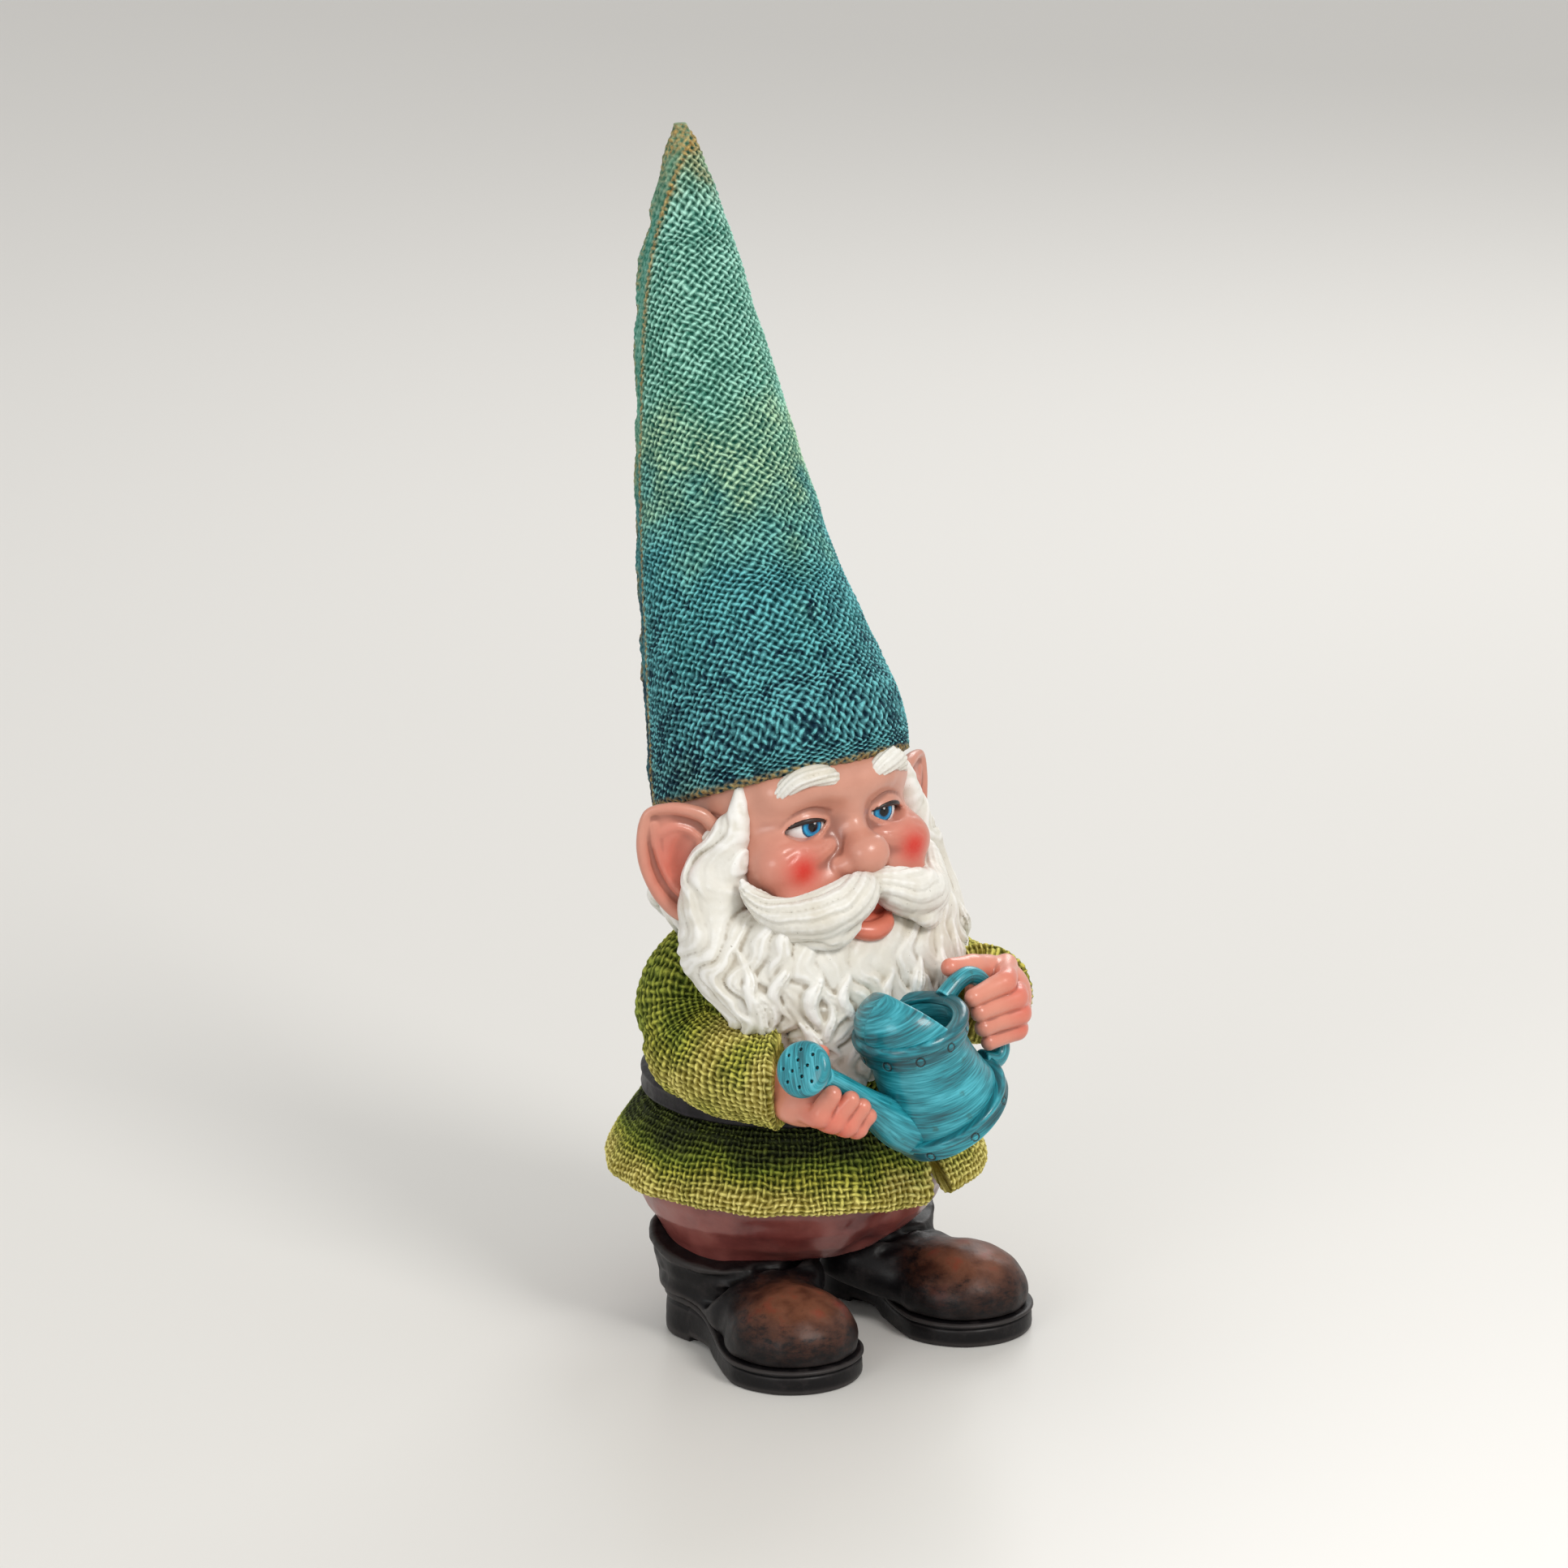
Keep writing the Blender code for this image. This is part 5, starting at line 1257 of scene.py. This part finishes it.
def can_turned(name, profile, finish, nodes, rows, ring=False, rivets=None):
    """A part of the can turned round its centre line. A ring's profile closes on itself. rivets gives the
    first one's angle, the angle between them, their height and their radius."""
    profile = np.array(profile, float)
    if ring:
        profile = np.vstack([profile, profile[:1]])
    profile = spline(profile, rows)
    points, angle = lathe(profile, can_place, 288)
    out = grid_normals(points)
    points = points + out * (0.12 * noise(points, 7, 41) + 0.048 * noise(points, 2.5, 42))[..., None]
    mark = np.zeros(points.shape[:2])
    if rivets:
        first, pitch, height, size = rivets
        first, pitch = math.radians(first), math.radians(pitch)
        nearest = (angle - first + pitch / 2) % pitch - pitch / 2
        away = np.hypot(nearest[None, :] * profile[:, :1], profile[:, 1:2] - height)
        away = np.where(profile[:, :1] > profile[:, 0].max() - 1.6, away, 9)
        mark = np.exp(-(((away - size) / 0.3) ** 2))
        points = points - out * (0.3 * mark - 0.15 * np.exp(-((away / size) ** 4)))[..., None]
    around = angle[None, :] * profile[:, :1] + 0 * mark
    if ring:
        points, mark, around = points[:-1], mark[:-1], around[:-1]
    up = profile[:len(points), 1:2] + 0.12 * around
    stroked(name, points, grid_quads(points, ring), finish, nodes, around, up, mark.ravel())


def can_tube(name, path, columns, finish, nodes, rows):
    """A bent round bar of the can, with closed ends."""
    points, angle, way = tube(spline(path, rows), columns)
    points, extra = closed_ends(raised(points, 0.1 * noise(points, 5, 43)))
    along = np.pad(way, extra, mode="edge")[:, None] + 0 * angle[None, :]
    stroked(name, points, grid_quads(points), finish, nodes, along, angle[None, :] * 5 + 0 * along)


def make_can():
    """The watering can: vessel, hoops, handle, spout, hood and sprinkler."""
    main, trim = can_finish("can_paint"), can_finish("can_trim_paint", 0.15)
    wall = [(0.3, 0), (9, 0), (18.6, 0), (19.8, 0.9), (19.8, 5), (18.9, 12), (17.7, 20), (16.9, 27),
            (16.8, 33), (16.9, 38.6), (15.9, 39.3), (14.9, 38.6), (14.8, 33), (14.9, 27), (15.7, 20),
            (16.9, 12), (17.4, 3.4), (9, 2.6), (0.3, 2.6)]
    can_turned("can_vessel", wall, main, ("can_body",), count(118, 0.5))
    foot = [(18.6, 0.0), (21.3, 0.2), (21.9, 1.0), (21.8, 3.8), (22.5, 4.6), (22.5, 5.6), (21.6, 6.5),
            (18.6, 6.6), (18.2, 3.2)]
    can_turned("can_foot_hoop", foot, trim, ("can_base_band",), 70, True, rivets=(-151, 45, 2.3, 1.35))
    rim = [(15.0, 37.6), (16.4, 33.2), (18.5, 32.8), (19.0, 33.6), (19.0, 36.6), (19.9, 37.5), (20.2, 39.1),
           (19.2, 40.7), (17.3, 41.1), (15.2, 40.5), (14.5, 39.2)]
    can_turned("can_rim_hoop", rim, trim, ("can_top_band",), 90, True, rivets=(-122, 36, 35.0, 1.45))
    grip = [(13, -68, 127.5, 3.4), (18.5, -67.5, 131.5, 3.2), (24, -67, 133, 3.1), (29.5, -66.7, 130.5, 2.9),
            (33.5, -66.7, 124.5, 2.8), (35.8, -67.3, 117, 2.8), (36.8, -68.4, 110, 2.9),
            (36.4, -69.6, 104.6, 3.0), (33, -70.5, 102.2, 3.2), (27, -71, 103.6, 3.6)]
    can_tube("can_grip", grip, 40, trim, ("can_handle",), 200)
    pipe = [(6, -71, 83.5, 10.2), (1, -71, 84.8, 10), (-8, -71, 88.2, 8.6), (-17, -71.5, 94.2, 6.5),
            (-26, -72.5, 101, 4.8), (-34.5, -73.5, 107.6, 4.0), (-42.5, -74.3, 112.8, 3.7)]
    can_tube("can_pipe", pipe, 88, main, ("can_spout",), 150)
    make_cover(main)
    make_rose(main)


def make_cover(finish):
    """The hood over the spout side of the mouth: a half cone, worked out with the can upright."""
    clay = Clay((-22, -22, -2), (12, 22, 18), fine(0.35))
    x, y, z = clay.grid()

    def cone(radius, rise):
        """Distance to a rounded cone that leans back as it rises."""
        t = np.clip(z / rise, 0, 1)
        body = np.sqrt((x + 5.5 * t**1.3) ** 2 + y**2) - radius * (1 - t**2.1) ** 0.62
        return body * 0.8 + np.maximum(z - rise, 0) * 0.6

    cut = math.radians(33)    # the lean of the hood's open side
    slope = (x - 4) * math.cos(cut) + z * math.sin(cut)
    shell = -soft_min(-cone(18.2, 14.6), cone(16.3, 12.6), 0.8)
    shell = -soft_min(-shell, -slope, 1.0)
    clay.field = (-soft_min(-shell, z + 0.6, 0.8)).astype(np.float32)
    centre, first, second = can_place(HOOD_AT)
    axis = np.cross(first, second)
    verts, quads = clay.skin()
    verts = relax(verts, quads, 2) * 0.5 + verts * 0.5
    around, up = np.arctan2(verts[:, 1], verts[:, 0] + 6) * 12, verts[:, 2]
    verts = verts + normals(verts, quads) * (0.12 * noise(verts, 5, 44))[:, None]
    world = centre + verts[:, :1] * first + verts[:, 1:2] * second + verts[:, 2:] * axis
    stroked("can_hood", world, quads, finish, ("can_cover",), around + 0.4 * up, up - 0.2 * around)


def make_rose(finish):
    """The sprinkler head, with two rings of holes pressed into its face."""
    rows = spline([(0.2, -1), (3.9, -1), (4.4, 0.4), (5.4, 2.4), (7.8, 5.4), (9.3, 8.2), (9.6, 9.8),
                   (9.0, 11.4), (7.4, 12.2), (4, 12.6), (0.2, 12.7)], count(27, 0.25))
    place = straight((-45.4, -74.7, 114.6), (-0.84, -0.34, 0.42))
    points, angle = lathe(rows, place, 200)
    flat = rows[:, :1, None] * np.stack([np.cos(angle), np.sin(angle)], axis=-1)[None]
    holes = [(2.9 * math.cos(a), 2.9 * math.sin(a)) for a in turns(4) + 0.5]
    holes += [(6.3 * math.cos(a), 6.3 * math.sin(a)) for a in turns(8) + 0.2]
    away = np.min([np.hypot(flat[..., 0] - a, flat[..., 1] - b) for a, b in holes], axis=0)
    away = np.where(rows[:, 1:2] > 11.3, away, 9)
    pit = 1 - smooth(0.35, 0.75, away)
    points = raised(points, 0.08 * noise(points, 4, 45) - 1.1 * pit)
    along, across = flat[..., 1] - 0.35 * flat[..., 0], flat[..., 0] + 0.35 * flat[..., 1] + rows[:, 1:2]
    stroked("can_sprinkler", points, grid_quads(points), finish, ("can_rose",), along, across, pit.ravel())


# ---- belt, trousers and boots ----
BELT = [(46.4, 82.2), (50.8, 82.2), (52.4, 83.2), (52.1, 84.6), (52.0, 87.8), (52.4, 89.2), (50.8, 90.3),
        (46.4, 90.3)]    # the strap's section, as radius and height


def make_belt():
    """The belt: rows go round the body, columns round the strap's section."""
    f = Finish("belt_paint", roughness=0.55, specular=0.25)
    worn = f.step(f.speckle(5.0, 5.0), 0.4, 0.75)
    colour = f.blend(worn, rgb(13, 11, 14), rgb(40, 36, 42))
    colour = f.over(colour, f.speckle(1.2, 3.0), 0.6, 0.8, 0.5, (60, 54, 52))
    finish = f.done(colour, f.speckle(1.6, 4.0), 0.15, f.plus(0.38, f.times(worn, 0.2)))
    rows = spline(BELT + BELT[:1], 44)[:-1]
    angle = turns(360)
    circle = np.stack([np.sin(angle), -0.95 * np.cos(angle)], axis=1)
    level = np.broadcast_to(rows[None, :, 1:], (len(angle), len(rows), 1))
    points = np.concatenate([rows[None, :, :1] * circle[:, None], level], axis=2)
    points = raised(points, 0.22 * noise(points, 9, 51) + 0.1 * noise(points, 3, 52))
    piece("belt_strap", points.reshape(-1, 3), grid_quads(points, True), finish, ("belt",))


TROUSERS = [(18, 25), (35, 29), (45, 36), (51.5, 43), (54.6, 50), (54.8, 57), (52, 65), (48, 73), (45, 79),
            (45, 88), (42, 90)]    # radius and height
# Creases in the trousers: both ends and the radius in the middle.
TROUSER_CREASES = (((12, -48, 44), (36, -42, 40), 1.6), ((20, -50, 50), (44, -31, 47), 1.2),
                   ((30, -41, 36), (46, -24, 39), 1.2))


def make_trousers():
    """The seat and both legs as one bulge that hangs over the boots."""
    clay = Clay((-60, -58, 22), (60, 58, 94), FINE * 1.15)
    x, y, z = clay.grid()
    radius = np.interp(z, [row[1] for row in TROUSERS], [row[0] for row in TROUSERS])
    side = (np.sqrt(x**2 + (y / 0.95) ** 2) - radius) * 0.85
    clay.field = np.maximum(np.maximum(side, 26 - z), z - 90).astype(np.float32)
    for way in (-1, 1):
        clay.rod([(way * 28, -1, 33, 20), (way * 27, -1, 54, 24)], 8)
        for a, b, deep in TROUSER_CREASES:
            middle = ((a[0] + b[0]) / 2, (a[1] + b[1]) / 2 - 4.0, (a[2] + b[2]) / 2 - 1.5, deep)
            crease = [(a[0], a[1] - 2, a[2], 0.3), middle, (b[0], b[1] - 2, b[2], 0.3)]
            clay.rod(mirror(way, crease), 4, press=True, count=10)
    clay.rod([(1, -56, 47, 0.5), (1, -52, 40, 2.5), (1, -44, 32, 5)], 6, press=True)
    f = Finish("trouser_paint", roughness=0.3, coat=0.3, specular=0.5, coat_roughness=0.15)
    streak = f.speckle(1.0, 4.0, f.stretch((60, 60, 420)))
    cloud = f.speckle(16.0, 4.0)
    level = f.plus(f.times(cloud, 0.75), f.times(streak, 0.25))
    colour = f.ramp(level, [(0.3, rgb(84, 30, 30)), (0.46, rgb(116, 58, 54)), (0.6, rgb(140, 78, 72)),
                            (0.78, rgb(150, 96, 88))])
    colour = f.over(colour, f.mask("relief"), -0.1, -1.0, 0.8, (40, 12, 14))
    finish = f.done(colour, f.speckle(2.6, 4.0), 0.12, f.plus(0.24, f.times(cloud, 0.18)))
    sculpted("trouser_cloth", clay, finish, ("trousers",), 0.35)


TOE, HEEL = (36.8, -49.3), (33.0, -1.0)            # middles of the left sole's round ends, as x and y
TOE_R, HEEL_R, SOLE_WAIST = 24.0, 17.0, 14.5       # half the sole's width at its ends and between them
TOE_AHEAD = math.hypot(TOE[0] - HEEL[0], TOE[1] - HEEL[1])
HEEL_TOP, TOE_TOP = 16.0, 8.5                      # height of the sole's upper edge behind and in front
# The sole's edge from the ground to the boot: share of its height, and how far it lies inside the outline.
SOLE_EDGE = ((0.0, 3.0), (0.0, 1.0), (0.02, 0.35), (0.08, 0.0), (0.2, -0.1), (0.35, 0.0), (0.5, 0.0),
             (0.62, 0.1), (0.70, 0.25), (0.745, 0.75), (0.775, 1.0), (0.80, 0.75), (0.83, 0.0), (0.88, -0.5),
             (0.94, -0.45), (0.98, 0.0), (1.0, 0.9), (1.0, 3.0))
# Wrinkles round a boot's shaft: height at one end and at the other, and depth.
BOOT_WRINKLES = ((30, 24.5, 1.3), (24.5, 19.5, 1.6), (17.5, 21.5, 1.2))


def foot_splay(side):
    """How far a foot is turned outwards, as an angle."""
    return math.atan2(side * (TOE[0] - HEEL[0]), HEEL[1] - TOE[1])


def foot_place(side):
    """Turns a straight foot outwards and sets its heel in place."""
    c, s = math.cos(foot_splay(side)), math.sin(foot_splay(side))
    turn = np.array(((c, -s, 0), (s, c, 0), (0, 0, 1)))
    return lambda verts: verts @ turn.T + np.array((side * HEEL[0], HEEL[1], 0))


def sole_width(y):
    """Half the sole's width, with the heel at y 0 and the toe at -TOE_AHEAD."""
    ahead = np.clip(-y / TOE_AHEAD, 0, 1)
    ends = HEEL_R + (TOE_R - HEEL_R) * ahead
    waist = ends - (ends - SOLE_WAIST) * np.sin(math.pi * ahead**0.6) ** 2 * 0.8
    heel = np.sqrt(np.maximum(HEEL_R**2 - np.maximum(y, 0) ** 2, 0))
    toe = np.sqrt(np.maximum(TOE_R**2 - np.minimum(y + TOE_AHEAD, 0) ** 2, 0))
    return np.where(y > 0, heel, np.where(y < -TOE_AHEAD, toe, waist))


def sole_top(y):
    """Height of the sole's upper edge."""
    return HEEL_TOP + (TOE_TOP - HEEL_TOP) * smooth(4, TOE_AHEAD - 12, -y)


def make_sole(name, side, finish):
    """Sole and heel: columns follow the outline, rows climb its edge, with a groove below the welt."""
    share = turns(count(190, 0.5))
    y = (HEEL_R - TOE_AHEAD - TOE_R) / 2 + (HEEL_R + TOE_AHEAD + TOE_R) / 2 * np.cos(share)
    x = sole_width(y) * np.sign(np.sin(share) + 1e-9)
    outline = np.stack([x, y], axis=1)
    even = distances(np.vstack([outline, outline[:1]]))
    spots = np.linspace(0, even[-1], len(share), endpoint=False)
    loop = np.vstack([outline, outline[:1]])
    outline = np.stack([np.interp(spots, even, loop[:, k]) for k in (0, 1)], axis=1)[::-1]
    for _ in range(6):
        outline = (np.roll(outline, 1, axis=0) + 2 * outline + np.roll(outline, -1, axis=0)) / 4
    tangent = unit(np.roll(outline, -1, axis=0) - np.roll(outline, 1, axis=0))
    outward = np.stack([tangent[:, 1], -tangent[:, 0]], axis=1)
    top = sole_top(outline[:, 1])
    under = 2.0 * smooth(-27, -21, outline[:, 1]) * (1 - smooth(-8.6, -7.4, outline[:, 1]))
    rows = []
    for share_up, inset in SOLE_EDGE:
        rows.append(np.c_[outline - outward * inset, under + (top - under) * share_up])
    points, _ = closed_ends(np.array(rows), 5)
    points[..., 2] = np.maximum(points[..., 2], 0)
    verts = points.reshape(-1, 3)
    verts = verts + 0.15 * noise(verts, 6, 61)[:, None] * np.array((1, 1, 0))
    quads = grid_quads(points)
    masks = {"relief": relief(verts, quads, 6) / 0.4, "toe": 0 * verts[:, 0]}
    piece(name + "_boot_sole", foot_place(side)(verts), quads, finish, (name + "_sole",), masks)


def boot_finish(name, toe_paint):
    """Scuffed black leather or rubber, rubbed to rust where the toe mask is high."""
    f = Finish(name, roughness=0.46, coat=0.04, specular=0.2, coat_roughness=0.25)
    scuff = f.speckle(6.0, 6.0, roughness=0.65)
    colour = f.blend(f.step(scuff, 0.48, 0.85), rgb(12, 10, 12), rgb(44, 39, 39))
    patches = f.speckle(4.0, 6.0, f.stretch((1, 1, 2.2)), 0.7)
    rub = f.times(f.mask("toe"), f.step(f.plus(patches, f.times(f.mask("toe"), 0.35)), 0.42, 0.75))
    rust = f.ramp(f.speckle(9.0, 4.0), [(0.3, rgb(70, 38, 26)), (0.55, rgb(110, 68, 50)),
                                        (0.75, rgb(128, 54, 38))])
    colour = f.blend(f.times(rub, toe_paint), colour, rust)
    colour = f.over(colour, f.mask("relief"), -0.1, -0.9, 0.8, (6, 6, 7))
    colour = f.over(colour, f.mask("relief"), 0.35, 1.2, 0.22, (96, 90, 88))
    return f.done(colour, f.speckle(2.0, 5.0), 0.12, f.plus(0.3, f.times(scuff, 0.25)))


def make_boot(name, side, finish):
    """The boot above its sole, modelled straight with the heel at the origin."""
    clay = Clay((-34, -78, 4), (34, 32, 44), FINE * 1.05)
    clay.ball((0, 0, 18), (18, 18, 14), 5)
    clay.ball((-side * 14, -14, 20), (18, 18, 13), 6)
    clay.rod(mirror(-side, [(1, -1, 13, 18.2), (3.5, -1, 22, 22.6), (5, -1, 31, 26.0), (5, -1, 41, 27.0)]), 4)
    clay.slab((0, 0, 33.4), (0, -0.187, 0.982), 1.2)
    clay.ball((-side * 3, -26, 14), (20.5, 24, 14.0), 7)
    clay.ball((0, -TOE_AHEAD + 0.5, 12.5), (22.6, 23.2, 16.6), 3.5)
    rim = [(-side * 5 + 26.2 * math.cos(a), -1 + 26.2 * math.sin(a), 31.9 + 0.19 * 26.2 * math.sin(a), 1.5)
           for a in np.arange(33) / 32 * TAU]
    clay.rod(rim, 1.2)
    for start, end, deep in BOOT_WRINKLES:
        for way in (-1, 1):
            path = []
            for turn in np.linspace(-1.0, 1.15, 14):
                r = 23.5 + 0.12 * (start - 20) + (2.0 if abs(turn) < 0.8 else 0)
                height = start + (end - start) * (turn + 1) / 2 + 1.2 * math.sin(3 * turn + way)
                x, y = way * r * math.sin(turn + 0.9) - side * 3.5, -1 - 1.02 * r * math.cos(turn + 0.9)
                path.append((x, y, height, 0.2 + deep * math.cos(turn * 1.3) ** 2))
            clay.rod(path, 3, press=True)
    for x in (-9, 2, 12):
        clay.rod([(x - 7, -29 - 0.2 * abs(x), 31.5, 0.2), (x, -31 - 0.2 * abs(x), 30.4, 1.2),
                  (x + 7, -30, 30.5, 0.2)], 3, press=True, count=8)
    clay.rod([(-20, -30, 26, 0.2), (-10, -31.5, 29.8, 1.3), (0, -32, 30.5, 1.6), (10, -31.5, 29.8, 1.3),
              (20, -30, 26, 0.2)], 4, press=True, count=16)
    _, y, z = clay.grid()
    clay.field = (-soft_min(-clay.field, z - (sole_top(y) + 0.2), 1.5)).astype(np.float32)
    inward = -side * np.array((math.cos(foot_splay(side)), math.sin(foot_splay(side)), 0))
    clay.slab(HEEL[0] * inward, inward, 0.8)    # the boots meet at the gnome's middle

    def toe(v):
        return np.clip(1.5 * near(v, (0, -TOE_AHEAD - 5, 24), (19, 19, 14)) - 0.16, 0, 1)

    sculpted(name + "_boot_leather", clay, finish, (name + "_boot",), 0.3, place=foot_place(side),
             extra={"toe": toe})


# ---- studio ----
WORLD_COLOUR, WORLD_STRENGTH = (1.0, 0.985, 0.96, 1), 0.68
LAMPS_FACE = (0, 0, 0.2)                      # where the lamps point, in metres
LENS, SENSOR = 155.8, 36                      # the photo's view, in millimetres like the next two
CAMERA_PLACE = (-1332.9, -1749.7, 841.8)
CAMERA_TARGET = (-5.725, 11.507, 188.58)


def aim(obj, place, target):
    """Puts an object in its place and turns it to look at a target."""
    obj.location = place
    obj.rotation_euler = (Vector(target) - Vector(place)).to_track_quat("-Z", "Y").to_euler()
    bpy.context.scene.collection.objects.link(obj)


def area_light(name, place, size, watts, colour=(1, 1, 1)):
    """A round lamp that faces the gnome. Lengths are metres."""
    light = bpy.data.lights.new(name, "AREA")
    light.shape, light.size, light.energy, light.color = "DISK", size, watts, colour
    aim(bpy.data.objects.new(name, light), place, LAMPS_FACE)


def make_studio():
    """The white room, its lamps, the floor and the camera that matches the photo."""
    scene = bpy.context.scene
    scene.view_settings.view_transform = "Standard"
    world = bpy.data.worlds.new("studio")
    world.use_nodes = True
    background = world.node_tree.nodes["Background"]
    background.inputs["Color"].default_value = WORLD_COLOUR
    background.inputs["Strength"].default_value = WORLD_STRENGTH
    scene.world = world
    area_light("key", (0.15, -1.75, 1.75), 0.85, 26, (1, 0.975, 0.94))
    area_light("fill", (-1.9, -0.7, 0.9), 1.0, 8)
    area_light("rim", (1.3, 0.9, 1.2), 0.9, 9)
    mesh = bpy.data.meshes.new("floor")
    mesh.from_pydata([(-9, -9, 0), (9, -9, 0), (9, 9, 0), (-9, 9, 0)], [], [(0, 1, 2, 3)])
    f = Finish("floor_paint", roughness=0.32, specular=0.25)
    tone = f.ramp(f.speckle(900.0, 1.0), [(0.0, (0.70, 0.69, 0.665)), (1.0, (0.74, 0.73, 0.705))])
    mesh.materials.append(f.done(tone))
    floor = bpy.data.objects.new("floor", mesh)
    scene.collection.objects.link(floor)
    camera = bpy.data.cameras.new("camera")
    camera.lens, camera.sensor_width = LENS, SENSOR
    obj = bpy.data.objects.new("camera", camera)
    aim(obj, Vector(CAMERA_PLACE) * MM, Vector(CAMERA_TARGET) * MM)
    scene.camera = obj


make_studio()
coat = burlap("jacket_paint", COAT_DEEP, COAT_RIDGE)
make_hat()
make_torso(coat)
make_sleeve("right", coat)
make_sleeve("left", coat)
make_skirt(coat)
make_head()
make_eyes()
make_lip(skin_finish("lip_paint", (208, 122, 98), (190, 56, 36), (112, 40, 30)))
hair = hair_finish()
make_beard(hair)
make_moustache(hair)
make_brow("right", -1, hair)
make_brow("left", 1, hair)
make_back_hair(hair)
hands = skin_finish("hand_paint", (214, 146, 124), (208, 76, 56), (120, 56, 42))
make_hand("right", (-58, -90, 82), (-18, -38, 122), [((-39.5, -60, 99.5), (11.5, 12, 8), 2),
          ((-39, -50, 102), (9, 11, 8.5), 5)], hands)
make_hand("left", (10, -90, 96), (64, -42, 146), [((44.5, -60, 120), (9.5, 11, 12), 2),
          ((46.5, -52, 118.5), (9.5, 9, 10.5), 5), ((40, -66, 121), (7, 5, 11), 4)], hands)
make_can()
make_belt()
make_trousers()
leather, rubber = boot_finish("boot_paint", 1.0), boot_finish("sole_paint", 0.0)
for foot, way in (("right", -1), ("left", 1)):
    make_sole(foot, way, rubber)
    make_boot(foot, way, leather)
